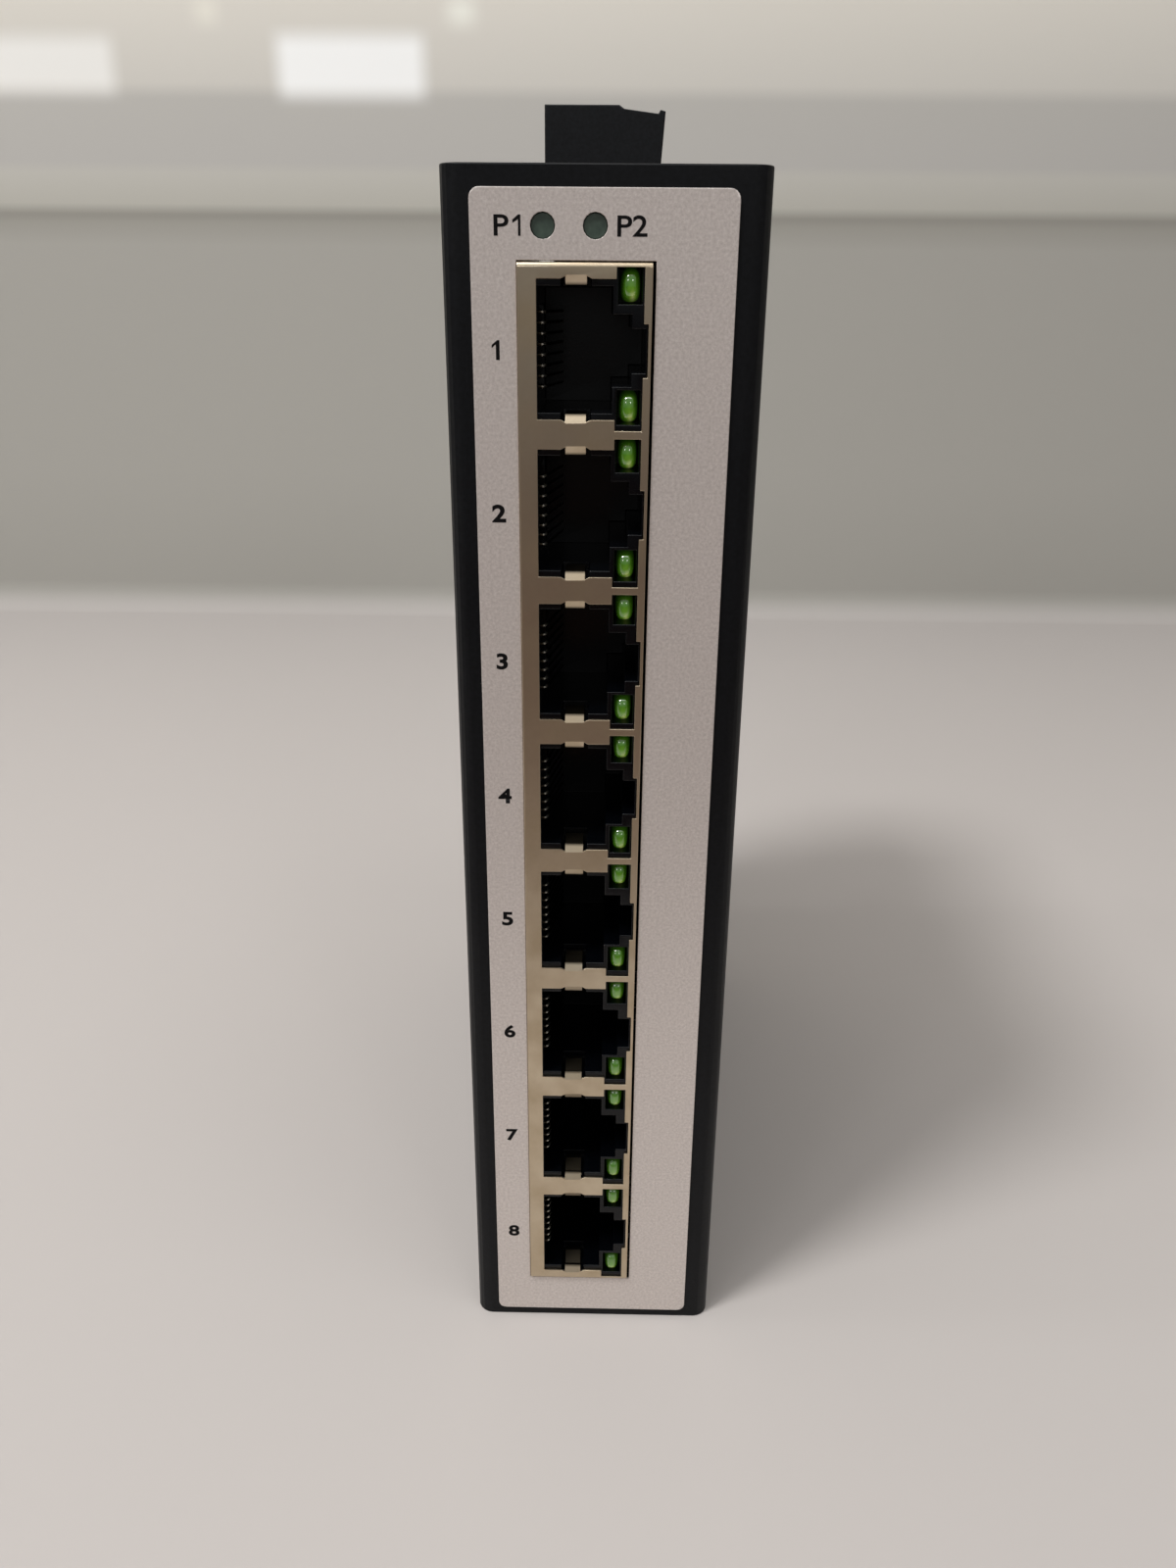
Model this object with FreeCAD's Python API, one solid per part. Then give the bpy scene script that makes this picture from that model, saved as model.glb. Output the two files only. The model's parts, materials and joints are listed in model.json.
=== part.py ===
import FreeCAD, Part
import math
import os

# DIN-rail Ethernet switch with eight ports, a pluggable power terminal and a sprung rail latch.
# Millimetres.  +Z is up, the ports face -Y, and the origin is the centre of the underside.

Vector = FreeCAD.Vector
X_AXIS = Vector(1, 0, 0)
Y_AXIS = Vector(0, 1, 0)
Z_AXIS = Vector(0, 0, 1)

# ---- case ----------------------------------------------------------------------------------
case_width = 32.0
case_above_jack = 8.5         # case over the top of the jack
case_below_jack = 7.05        # case under the jack's lower end
case_depth = 100.0
case_sheet = 1.2
bend_outer = 2.0              # outside radius of every fold in the case sheet
nest_gap = 0.1                # between the chassis and the shell around it
flange_reach = 12.0           # how far the folded flanges and tabs reach inwards
back_flange_inset = 18.0      # flange ends from the floor and the roof
tab_start = 4.0               # from the chassis' front edge to the tab
tab_length = 13.0
bend_relief = 0.8             # notch beside each folded flange

# ---- vents in the roof and floor -----------------------------------------------------------
vent_width = 2.0
vent_length = 18.0
vent_bevel = 0.6
vent_pitch = 4.5
roof_vents = 8
floor_vents = 5
roof_vent_start = 9.0         # from the front face to the first slot
floor_vent_inset = 9.0        # from the front and back faces to the outer slots

# ---- fasteners -----------------------------------------------------------------------------
round_sides = 16              # flats around every turned form and round hole
corner_flats = 5              # flats around a right-angled corner or fold
screw_radius = 1.5            # M3 shank
screw_clearance = 0.03        # around a shank in its tapped hole
flat_head_radius = 2.7
flat_head_sink = 0.05         # head face below the sheet
side_screw_length = 5.0
side_screw_front_inset = 10.0
side_screw_end_inset = 8.0
side_screw_back_inset = 6.5
side_screw_back_rise = 24.0

# ---- front label ---------------------------------------------------------------------------
label_width = 25.8
label_offset = -0.15          # label's middle from the case's
label_bottom = 1.3
label_top_margin = 2.05
label_thickness = 0.25
label_corner = 1.0
label_window_gap_left = 0.05
label_window_gap_right = 0.31
label_window_gap_ends = 0.1
shell_window_margin = 0.25    # shell window beyond the label window

# ---- ganged jack ---------------------------------------------------------------------------
port_count = 8
port_pitch = 16.0
board_offset = 7.45           # board's face from the case's side
jack_width = 13.19
jack_end_margin = 8.05        # from an end port's centre to the end of the shield
jack_depth = 21.0
jack_proud = 0.35             # shield face in front of the label
shield_thickness = 0.25
shield_edge = 0.5
shield_fit = 0.05             # between the shield and the mouldings
shield_return = 2.0           # lip folded back along the board
opening_left_rim = 1.88
opening_right_rim = 0.78
opening_half = 6.54           # half height of a port's main opening
led_window_width = 2.72
led_window_half = 7.6
latch_notch_depth = 0.46
latch_notch_half = 2.5
spring_tab_centre = 5.75      # from the shield's board side
spring_tab_width = 2.1
spring_tab_gap = 0.45
spring_tab_relief = 0.25
spring_tab_reach = 0.55       # how far a tab's lip stands into the opening
spring_tab_lip = 0.5
spring_tab_dip = 1.3          # depth at which the tab lies lowest
spring_tab_bow = 3.2          # depth at which it bows furthest in
spring_tab_depth = 4.6
spring_tab_low = 0.02         # into the opening at the dip and at the free end
spring_tab_high = 0.68        # into the opening at the bow
spring_tab_pocket = 1.5       # half width of the pocket behind a tab
shield_leg_width = 1.5
shield_leg_length = 2.4

# ---- jack mouldings, contacts and port lamps -----------------------------------------------
moulding_half = 7.75
cavity_floor = 1.95           # from the shield's board side to the cavity
cavity_width = 7.4            # across the plug body, away from the board
cavity_half = 5.9
cavity_depth = 15.5
latch_groove_half = 3.35
latch_groove_reach = 1.9
latch_step_half = 2.05
latch_step_reach = 3.3
comb_half = 4.2
comb_depth = 1.1              # pocket for the contact wires, below the cavity floor
comb_start = 1.2
comb_length = 13.4
lamp_width = 2.1
lamp_height = 3.1
lamp_corner = 0.6
lamp_length = 6.0
lamp_inset = 0.2              # lamp face behind the moulding's face
lamp_fit = 0.1
lamp_centre_across = 11.05    # from the shield's board side
lamp_below = 5.35             # lower lamp's centre under the port's centre
lamp_above = 5.95             # upper lamp's centre over the port's centre
contact_count = 8
contact_pitch = 1.016
contact_size = 0.4
contact_front = 2.4           # front bend behind the moulding's face
contact_bend = 0.5
contact_crest = 0.6           # height of the front bend above the cavity floor
contact_lift = 2.2            # height of the free end above the cavity floor
contact_run = 8.5

# ---- power lamps ---------------------------------------------------------------------------
power_lamp_drop = 5.35        # below the roof
power_lamp_first = 2.52       # first lamp's centre above the board
power_lamp_spacing = 5.05
power_lamp_radius = 1.5
power_lamp_body = 4.3
power_lamp_bevel = 0.4
power_lamp_collar = 1.9
power_lamp_collar_height = 1.0
power_lamp_hole_gap = 0.1
label_lamp_hole = 1.2
power_lamp_setback = 0.3      # lamp's end behind the label's face
lamp_block_half = 2.3
lamp_block_depth = 5.0

# ---- board and what stands on it -----------------------------------------------------------
board_thickness = 1.6
board_front_gap = 1.0
board_back = 39.0
board_bottom = 5.0
board_top_gap = 1.6           # below the roof
standoff_radius = 3.1         # to a corner of the hexagon
standoff_front_y = -12.0
standoff_back_y = 34.0
standoff_inset = 7.0          # from the board's lower and upper edges
board_screw_length = 5.0
board_screw_head = 2.0
chip_side = 20.0
chip_height = 1.6
chip_centre_y = 2.0
chip_bevel = 0.5
lead_width = 0.8
lead_pitch = 3.81
lead_reach = 1.2
lead_thickness = 0.2
sink_side = 24.0
sink_base = 2.0
sink_height = 10.0
sink_fin = 1.0
sink_fins = 7
magnetics_count = 4
magnetics_length = 15.0
magnetics_width = 9.6
magnetics_height = 5.8
magnetics_start_gap = 4.0     # behind the jack
crystal_length = 11.0
crystal_width = 4.6
crystal_height = 3.6
crystal_y = -2.0
crystal_rise = 22.0           # above the chip's centre
inductor_side = 12.0
inductor_height = 7.5
inductor_core = 4.4
inductor_y = 20.0
inductor_rise = 38.0
input_can_radius = 4.0
input_can_height = 12.0
input_can_rise = 48.0
output_can_radius = 3.15
output_can_height = 8.0
output_can_rise = 34.0
can_y = 32.0
can_groove = 0.3
can_base = 0.8
regulator_side = 6.5
regulator_depth = 9.0
regulator_height = 2.3
regulator_y = 5.0
regulator_rise = 38.0

# ---- pluggable power terminal --------------------------------------------------------------
pole_count = 5
pole_pitch = 5.08
plug_front_y = -3.0
plug_left_offset = 0.42       # body's side from the board's face
plug_width = 15.44
plug_top = 10.95              # above the roof
plug_step_offset = 9.52       # from the plug's left side
plug_step_run = 0.65
plug_step_drop = 0.43
plug_slope_drop = 0.53
plug_ridge_left = 6.43
plug_ridge_rise = 0.46
plug_ridge_run = 0.18
plug_ridge_fall = 0.2
plug_right_taper = 0.7
plug_seat_gap = 0.4           # body above the roof
nose_length = 8.0             # below the plug's body
header_height = 8.6           # off the board
header_wall = 1.0
header_below_roof = 0.3
header_length = 12.0
header_floor = 3.0
nose_fit = 0.15
roof_window_margin = 0.4
wire_hole_offset = 4.23       # from the plug's left side
wire_hole_size = 3.6
wire_funnel = 0.35
wire_hole_depth = 10.6
screw_hole_radius = 1.95
screw_hole_below_top = 5.2
plug_screw_radius = 1.75
plug_screw_sink = 1.2
plug_screw_head = 2.2
plug_shank_radius = 1.3
driver_slot = 0.5
driver_slot_depth = 0.8
clamp_wall = 0.7
clamp_fit = 0.1
clamp_below_top = 2.4
clamp_height = 6.4
pin_size = 1.0
pin_top_gap = 1.4
pin_fit = 0.12
fork_wall = 0.4
fork_fit = 0.1
fork_inset = 0.5

# ---- ground screw --------------------------------------------------------------------------
ground_radius = 2.0
ground_head_radius = 3.6
ground_head_height = 2.6
ground_head_bevel = 0.6
ground_length = 8.0
ground_inset = 12.0           # from the back
washer_radius = 4.2
washer_root = 3.7             # radius between the washer's teeth
washer_teeth = 10
washer_thickness = 0.6

# ---- rail bracket, latch and spring --------------------------------------------------------
rail_height = 35.0            # top-hat rail, 35 x 7.5
rail_sheet = 1.0
rail_above_middle = 0.175     # rail's centre over the middle of the case
bracket_width = 26.0
bracket_sheet = 2.0
bracket_half = 25.0
rail_seat = 7.0               # rail face behind the case
rail_play = 0.3
hook_thickness = 2.9
hook_grip = 2.9               # overlap of a hook and the rail's lip
hook_nose = 1.0
bracket_bevel = 3.0
latch_play = 0.3
latch_lift = 0.2
latch_sheet = 2.2
latch_upper_end = 4.0         # above the rail's centre
latch_lower_end = 40.0        # below the rail's centre
latch_riser = 6.0
latch_travel = 4.0
tongue_half = 7.0
tongue_start = 28.0
tongue_slot_half = 4.0
tongue_slot = 2.2
tongue_slot_inset = 4.0
spring_radius = 1.6           # to the wire's centre
spring_wire = 0.6
spring_turns = 5
spring_steps = 10             # straight steps in a turn
spring_window_half = 2.3
spring_anchor = 15.0          # below the rail's centre
spring_anchor_half = 1.8
spring_anchor_sheet = 1.5
spring_anchor_reach = 4.0
spring_window_top = 1.0       # above the rail's centre
rivet_radius = 1.7
rivet_head_radius = 3.0
rivet_head_height = 1.1
rivet_head_bevel = 0.5
rivet_fit = 0.04
rivet_slot_play = 0.2
rivet_x = 7.3
rivet_drop = 9.0              # below the rail's centre
bracket_screw_x = 6.5
bracket_screw_high = 19.0
bracket_screw_low = 9.0
bracket_screw_length = 6.0

# ---- worked out from the sizes above -------------------------------------------------------
jack_height = (port_count - 1) * port_pitch + 2 * jack_end_margin
case_height = case_below_jack + jack_height + case_above_jack
half_width = case_width / 2
jack_left = board_offset - half_width
front = -case_depth / 2
back = case_depth / 2
inside = half_width - case_sheet
bend_inner = bend_outer - case_sheet
chassis_half = inside - nest_gap
chassis_front = front + case_sheet + nest_gap
roof_under = case_height - case_sheet
board_face = jack_left
board_rear_face = board_face - board_thickness
board_front = front + case_sheet + board_front_gap
board_top = roof_under - board_top_gap
jack_right = jack_left + jack_width
jack_front = front - label_thickness - jack_proud
jack_back = jack_front + jack_depth
port_one_height = case_height - case_above_jack - jack_end_margin
port_heights = [port_one_height - port_pitch * index for index in range(port_count)]
label_top = case_height - label_top_margin
back_flange_bottom = back_flange_inset
back_flange_top = case_height - back_flange_inset
power_lamp_height = case_height - power_lamp_drop
rail_centre = case_height / 2 + rail_above_middle
plug_left = board_face + plug_left_offset
plug_right = plug_left + plug_width
plug_step_x = plug_left + plug_step_offset
wire_hole_x = plug_left + wire_hole_offset
jack_top = port_heights[0] + jack_end_margin
jack_bottom = port_heights[-1] - jack_end_margin
moulding_front = jack_front + shield_thickness + shield_fit
label_window = (
    jack_left - label_window_gap_left,
    jack_right + label_window_gap_right,
    jack_bottom - label_window_gap_ends,
    jack_top + label_window_gap_ends,
)
power_lamp_x = [board_face + power_lamp_first, board_face + power_lamp_first + power_lamp_spacing]
chip_centre_z = (board_bottom + board_top) / 2
input_can_z = chip_centre_z + input_can_rise
output_can_z = chip_centre_z + output_can_rise
standoff_places = [
    (y, z)
    for y in (standoff_front_y, standoff_back_y)
    for z in (board_bottom + standoff_inset, board_top - standoff_inset)
]
side_screw_places = [
    (front + side_screw_front_inset, side_screw_end_inset),
    (front + side_screw_front_inset, case_height - side_screw_end_inset),
    (back - side_screw_back_inset, side_screw_back_rise),
    (back - side_screw_back_inset, case_height - side_screw_back_rise),
]
plug_length = pole_count * pole_pitch
plug_back_y = plug_front_y + plug_length
pole_places = [plug_front_y + pole_pitch * (index + 0.5) for index in range(pole_count)]
plug_top_z = case_height + plug_top
plug_seat_z = case_height + plug_seat_gap
nose_tip_z = plug_seat_z - nose_length
header_right = board_face + header_height
nose_left = board_face + header_wall + nose_fit
nose_right = header_right - header_wall - nose_fit
header_top = roof_under - header_below_roof
header_bottom = header_top - header_length
header_front_y = plug_front_y - nose_fit - header_wall
header_back_y = plug_back_y + nose_fit + header_wall
pin_x = (nose_left + nose_right) / 2
bracket_face = back + bracket_sheet
seat_plane = back + rail_seat
hook_inner = seat_plane + rail_sheet + rail_play
hook_outer = hook_inner + hook_thickness
rail_half = rail_height / 2
latch_half = bracket_width / 2 - bracket_sheet - latch_play
latch_inner = bracket_face + latch_lift
latch_outer = latch_inner + latch_sheet
latch_shoulder = rail_half + rail_play
latch_foot = latch_shoulder + latch_riser
bracket_screw_places = [
    (-bracket_screw_x, rail_centre + bracket_screw_high),
    (bracket_screw_x, rail_centre + bracket_screw_high),
    (0.0, rail_centre + bracket_screw_low),
]
rivet_places = [(-rivet_x, rail_centre - rivet_drop), (rivet_x, rail_centre - rivet_drop)]
spring_centre_y = latch_inner + spring_radius + spring_wire / 2 + latch_lift
spring_bottom = rail_centre - spring_anchor
spring_top = rail_centre + spring_window_top
ground_place = ((header_right + inside) / 2, back - ground_inset)


# ---- building blocks -----------------------------------------------------------------------
def closed_wire(points, place):
    """Closed outline through (u, v) or (u, v, corner radius) points; place maps u, v to space."""
    spots = [Vector(point[0], point[1], 0) for point in points]
    outline = []
    for index, point in enumerate(points):
        corner = spots[index]
        if len(point) < 3 or point[2] <= 0:
            outline.append(corner)
            continue
        to_last = (spots[index - 1] - corner).normalize()
        to_next = (spots[(index + 1) % len(points)] - corner).normalize()
        half_angle = to_last.getAngle(to_next) / 2
        run = point[2] / math.tan(half_angle)
        centre = corner + (to_last + to_next).normalize() * (point[2] / math.sin(half_angle))
        first = corner + to_last * run - centre
        last = corner + to_next * run - centre
        turn = math.pi - 2 * half_angle
        flats = math.ceil(corner_flats * turn / (math.pi / 2) - 0.01)
        for step in range(flats + 1):
            along = turn * step / flats
            spoke = (first * math.sin(turn - along) + last * math.sin(along)) * (1 / math.sin(turn))
            outline.append(centre + spoke)
    kept = [
        spot for index, spot in enumerate(outline) if (spot - outline[index - 1]).Length > 1e-6
    ]
    return Part.makePolygon([place(spot.x, spot.y) for spot in kept + kept[:1]])


def prism_x(points, x_low, x_high):
    """(y, z) outline carried along X."""
    face = Part.Face(closed_wire(points, lambda u, v: Vector(x_low, u, v)))
    return face.extrude(X_AXIS * (x_high - x_low))


def prism_y(points, y_low, y_high):
    """(x, z) outline carried along Y."""
    face = Part.Face(closed_wire(points, lambda u, v: Vector(u, y_low, v)))
    return face.extrude(Y_AXIS * (y_high - y_low))


def prism_z(points, z_low, z_high):
    """(x, y) outline carried along Z."""
    face = Part.Face(closed_wire(points, lambda u, v: Vector(u, v, z_low)))
    return face.extrude(Z_AXIS * (z_high - z_low))


def block(x_low, x_high, y_low, y_high, z_low, z_high):
    corner = Vector(x_low, y_low, z_low)
    return Part.makeBox(x_high - x_low, y_high - y_low, z_high - z_low, corner)


def rectangle(u_low, u_high, v_low, v_high, radius=0.0):
    return [
        (u_low, v_low, radius),
        (u_high, v_low, radius),
        (u_high, v_high, radius),
        (u_low, v_high, radius),
    ]


def bevelled(u_low, u_high, v_low, v_high, bevel):
    """Rectangle with its corners cut off."""
    return [
        (u_low + bevel, v_low),
        (u_high - bevel, v_low),
        (u_high, v_low + bevel),
        (u_high, v_high - bevel),
        (u_high - bevel, v_high),
        (u_low + bevel, v_high),
        (u_low, v_high - bevel),
        (u_low, v_low + bevel),
    ]


def turned(profile, start, direction):
    """(radius, height) outline carried in flats round an axis, from start along direction."""
    angles = [2 * math.pi * side / round_sides for side in range(round_sides)]
    rings = [
        [Vector(radius * math.cos(angle), radius * math.sin(angle), height) for angle in angles]
        for radius, height in profile
    ]
    faces = []
    for low, high in zip(rings, rings[1:]):
        for side in range(round_sides):
            corners = [low[side - 1], low[side], high[side], high[side - 1]]
            spots = [corner for last, corner in zip(corners[-1:] + corners, corners) if corner != last]
            faces.append(Part.Face(Part.makePolygon(spots + spots[:1])))
    solid = Part.Solid(Part.Shell(faces)).removeSplitter()
    solid.Placement = FreeCAD.Placement(start, FreeCAD.Rotation(Z_AXIS, direction))
    return solid


def rod(start, direction, radius, length):
    return turned([(0, 0), (radius, 0), (radius, length), (0, length)], start, direction)


def joined(pieces):
    return pieces[0].multiFuse(pieces[1:]).removeSplitter()


def mirrored_x(shape):
    return shape.mirror(Vector(), X_AXIS)


# ---- fasteners -----------------------------------------------------------------------------
def flat_head_screw(surface, inwards, length):
    """Countersunk M3 screw whose head lies just below a sheet's surface."""
    face = surface + inwards * flat_head_sink
    cone = flat_head_radius - screw_radius
    profile = [(0, 0), (flat_head_radius, 0), (screw_radius, cone), (screw_radius, length), (0, length)]
    return turned(profile, face, inwards)


def flat_head_seat(surface, inwards, depth):
    """Tool for the countersunk hole that a flat head lies in."""
    radius = flat_head_radius + flat_head_sink
    hole = screw_radius + screw_clearance
    profile = [(0, 0), (radius, 0), (hole, radius - hole), (hole, depth), (0, depth)]
    return turned(profile, surface, inwards)


# ---- case ----------------------------------------------------------------------------------
def make_front_shell():
    """Front and both sides, folded from one sheet."""
    section = [
        (-half_width, back),
        (-half_width, front, bend_outer),
        (half_width, front, bend_outer),
        (half_width, back),
        (inside, back),
        (inside, front + case_sheet, bend_inner),
        (-inside, front + case_sheet, bend_inner),
        (-inside, back),
    ]
    shell = prism_z(section, 0, case_height)
    left, right, bottom, top = label_window
    margin = shell_window_margin
    opening = rectangle(left - margin, right + margin, bottom - margin, top + margin)
    cuts = [prism_y(opening, front - margin, front + case_sheet + margin)]
    for x in power_lamp_x:
        start = Vector(x, front - case_sheet, power_lamp_height)
        cuts.append(rod(start, Y_AXIS, power_lamp_radius + power_lamp_hole_gap, 3 * case_sheet))
    for y, z in side_screw_places:
        for side in (-1, 1):
            cuts.append(flat_head_seat(Vector(side * half_width, y, z), X_AXIS * -side, 2 * case_sheet))
    return shell.cut(cuts)


def folded_flange(corner, outward, inward, along, length):
    """Flange folded inwards at a plate's edge: corner lies on the plate's outer face and edge."""
    points = [
        (-bend_outer, 0),
        (0, 0, bend_outer),
        (0, -flange_reach),
        (-case_sheet, -flange_reach),
        (-case_sheet, -case_sheet, bend_inner),
        (-bend_outer, -case_sheet),
    ]
    face = Part.Face(closed_wire(points, lambda u, v: corner + outward * u - inward * v))
    return face.extrude(along * length)


def slots_across(first_y, count, z_low, z_high):
    slots = []
    for index in range(count):
        low_y = first_y + index * vent_pitch
        outline = bevelled(-vent_length / 2, vent_length / 2, low_y, low_y + vent_width, vent_bevel)
        slots.append(prism_z(outline, z_low, z_high))
    return slots


def make_rear_chassis():
    """Roof, back and floor, folded from one sheet, with flanges that take the side screws."""
    section = [
        (chassis_front, case_height),
        (back, case_height, bend_outer),
        (back, 0, bend_outer),
        (chassis_front, 0),
        (chassis_front, case_sheet),
        (back - case_sheet, case_sheet, bend_inner),
        (back - case_sheet, roof_under, bend_inner),
        (chassis_front, roof_under),
    ]
    chassis = prism_x(section, -chassis_half, chassis_half)
    edge = chassis_half - bend_outer
    tab_y = chassis_front + tab_start
    tab_end = tab_y + tab_length
    notches, flanges = [], []
    notches.append(
        block(edge, half_width, back - bend_outer, back + case_sheet,
              back_flange_bottom - bend_relief, back_flange_top + bend_relief)
    )
    flanges.append(
        folded_flange(Vector(chassis_half, back, back_flange_bottom), X_AXIS, -Y_AXIS, Z_AXIS,
                      back_flange_top - back_flange_bottom)
    )
    for plate_low, plate_z, inward in (
        (0, 0, Z_AXIS),
        (roof_under, case_height, -Z_AXIS),
    ):
        notches.append(
            block(edge, half_width, tab_y - bend_relief, tab_end + bend_relief,
                  plate_low, plate_low + case_sheet)
        )
        flanges.append(
            folded_flange(Vector(chassis_half, tab_y, plate_z), X_AXIS, inward, Y_AXIS, tab_length)
        )
    notches += [mirrored_x(notch) for notch in notches]
    flanges += [mirrored_x(flange) for flange in flanges]
    chassis = joined([chassis.cut(notches)] + flanges)

    corner = [
        (chassis_half - bend_inner, chassis_front),
        (chassis_half, chassis_front),
        (chassis_half, chassis_front + bend_inner),
    ]
    bevel = prism_z(corner, 0, case_height)
    cuts = [bevel, mirrored_x(bevel)]
    above = case_height + case_sheet
    cuts += slots_across(front + roof_vent_start, roof_vents, roof_under - case_sheet, above)
    floor_start = front + floor_vent_inset
    floor_end = back - floor_vent_inset - vent_width - (floor_vents - 1) * vent_pitch
    for first_y in (floor_start, floor_end):
        cuts += slots_across(first_y, floor_vents, -case_sheet, 2 * case_sheet)
    margin = roof_window_margin
    cuts.append(
        block(nose_left - margin, nose_right + margin, plug_front_y - margin, plug_back_y + margin,
              roof_under - case_sheet, case_height + case_sheet)
    )
    hole = screw_radius + screw_clearance
    for y, z in side_screw_places:
        cuts.append(rod(Vector(-half_width, y, z), X_AXIS, hole, case_width))
    for x, z in bracket_screw_places:
        cuts.append(rod(Vector(x, back - 2 * case_sheet, z), Y_AXIS, hole, 3 * case_sheet))
    x, y = ground_place
    ground_hole = ground_radius + screw_clearance
    cuts.append(rod(Vector(x, y, roof_under - case_sheet), Z_AXIS, ground_hole, 3 * case_sheet))
    return chassis.cut(cuts)


def make_front_label():
    """Plastic overlay with windows for the jack and the power lamps."""
    left_edge = label_offset - label_width / 2
    outline = rectangle(left_edge, left_edge + label_width, label_bottom, label_top, label_corner)
    plate = prism_y(outline, front - label_thickness, front)
    left, right, bottom, top = label_window
    cuts = [block(left, right, front - 2 * label_thickness, front + label_thickness, bottom, top)]
    for x in power_lamp_x:
        start = Vector(x, front - 2 * label_thickness, power_lamp_height)
        cuts.append(rod(start, Y_AXIS, label_lamp_hole, 3 * label_thickness))
    return plate.cut(cuts)


def make_side_screws():
    return Part.makeCompound([
        flat_head_screw(Vector(side * half_width, y, z), X_AXIS * -side, side_screw_length)
        for y, z in side_screw_places
        for side in (-1, 1)
    ])


def make_ground_screw():
    x, y = ground_place
    seat = Vector(x, y, case_height + washer_thickness)
    profile = [
        (0, -ground_head_height),
        (ground_head_radius - ground_head_bevel, -ground_head_height),
        (ground_head_radius, ground_head_bevel - ground_head_height),
        (ground_head_radius, 0),
        (ground_radius, 0),
        (ground_radius, ground_length),
        (0, ground_length),
    ]
    top = seat + Z_AXIS * ground_head_height
    return turned(profile, seat, -Z_AXIS)


def make_ground_washer():
    """External-tooth washer under the ground screw."""
    x, y = ground_place
    points = []
    for index in range(4 * washer_teeth):
        radius = washer_radius if index % 4 < 2 else washer_root
        angle = 2 * math.pi * index / (4 * washer_teeth)
        points.append((x + radius * math.cos(angle), y + radius * math.sin(angle)))
    washer = prism_z(points, case_height, case_height + washer_thickness)
    hole = rod(Vector(x, y, case_height), Z_AXIS, ground_radius + screw_clearance, washer_thickness)
    return washer.cut(hole)


# ---- ganged jack ---------------------------------------------------------------------------
def make_jack_shield():
    """One drawn and folded shield around all ports, open towards the board."""
    outer = prism_x(
        [
            (jack_front, jack_bottom, shield_edge),
            (jack_back, jack_bottom),
            (jack_back, jack_top),
            (jack_front, jack_top, shield_edge),
        ],
        jack_left,
        jack_right,
    )
    wall = shield_thickness
    hollow = block(jack_left + wall, jack_right - wall, jack_front + wall, jack_back - wall,
                   jack_bottom + wall, jack_top - wall)
    board_side = block(jack_left, jack_left + wall, jack_front + shield_return, jack_back - wall,
                       jack_bottom + wall, jack_top - wall)
    cuts = [hollow, board_side]
    left = jack_left + opening_left_rim
    right = jack_right - opening_right_rim
    led_left = right - led_window_width
    depth = (jack_front - wall, jack_front + 2 * wall)
    tab_x = jack_left + spring_tab_centre
    tab_half = spring_tab_width / 2
    relief_half = tab_half + spring_tab_gap
    tabs = []
    for centre in port_heights:
        cuts.append(block(left, right, *depth, centre - opening_half, centre + opening_half))
        cuts.append(block(led_left, right, *depth, centre - led_window_half, centre + led_window_half))
        cuts.append(
            block(right, right + latch_notch_depth, *depth,
                  centre - latch_notch_half, centre + latch_notch_half)
        )
        for side in (-1, 1):
            edge = centre + side * opening_half
            relief = [
                (tab_x - relief_half, edge),
                (tab_x - tab_half, edge + side * spring_tab_relief),
                (tab_x + tab_half, edge + side * spring_tab_relief),
                (tab_x + relief_half, edge),
            ]
            cuts.append(prism_y(relief, *depth))
            base = edge + side * spring_tab_relief
            path = [
                (0, base),
                (spring_tab_lip, edge - side * spring_tab_reach),
                (spring_tab_dip, edge - side * spring_tab_low),
                (spring_tab_bow, edge - side * spring_tab_high),
                (spring_tab_depth, edge - side * spring_tab_low),
            ]
            inner = [(wall, base)] + [(depth_y, z + side * wall) for depth_y, z in path[1:]]
            tab = [(jack_front + depth_y, z) for depth_y, z in path + inner[::-1]]
            tabs.append(prism_x(tab, tab_x - tab_half, tab_x + tab_half))
    return joined([outer.cut(cuts)] + tabs)


def make_jack_housing(centre):
    """Moulded body of one port: plug cavity, latch groove, lamp pockets and contact comb."""
    left = jack_left + shield_fit
    right = jack_right - shield_thickness - shield_fit
    rear = jack_back - shield_thickness - shield_fit
    low, high = centre - moulding_half, centre + moulding_half
    body = block(left, right, moulding_front, rear, low, high)
    lip_end = jack_front + shield_return + shield_fit
    floor = jack_left + cavity_floor
    roof = floor + cavity_width
    mouth = moulding_front - shield_fit
    end = moulding_front + cavity_depth
    comb_y = moulding_front + comb_start
    comb_floor = floor - comb_depth
    cuts = [
        block(left, jack_left + shield_thickness + shield_fit, mouth, lip_end, low, high),
        block(floor, roof, mouth, end, centre - cavity_half, centre + cavity_half),
        block(comb_floor, floor, comb_y, comb_y + comb_length, centre - comb_half, centre + comb_half),
    ]
    for reach, half in ((latch_groove_reach, latch_groove_half), (latch_step_reach, latch_step_half)):
        cuts.append(block(floor, roof + reach, mouth, end, centre - half, centre + half))
    lamp_x = jack_left + lamp_centre_across
    half_x = lamp_width / 2 + lamp_fit
    half_z = lamp_height / 2 + lamp_fit
    tab_x = jack_left + spring_tab_centre
    pocket_depth = jack_front + spring_tab_depth + lamp_fit
    for z in (centre - lamp_below, centre + lamp_above):
        pocket = rectangle(lamp_x - half_x, lamp_x + half_x, z - half_z, z + half_z)
        cuts.append(prism_y(pocket, mouth, moulding_front + lamp_inset + lamp_length + lamp_fit))
    for side in (-1, 1):
        inner, outer = cavity_half - lamp_fit, opening_half + spring_tab_relief
        ends = sorted([centre + side * inner, centre + side * outer])
        cuts.append(block(tab_x - spring_tab_pocket, tab_x + spring_tab_pocket, mouth, pocket_depth, *ends))
    return body.cut(cuts)


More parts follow.
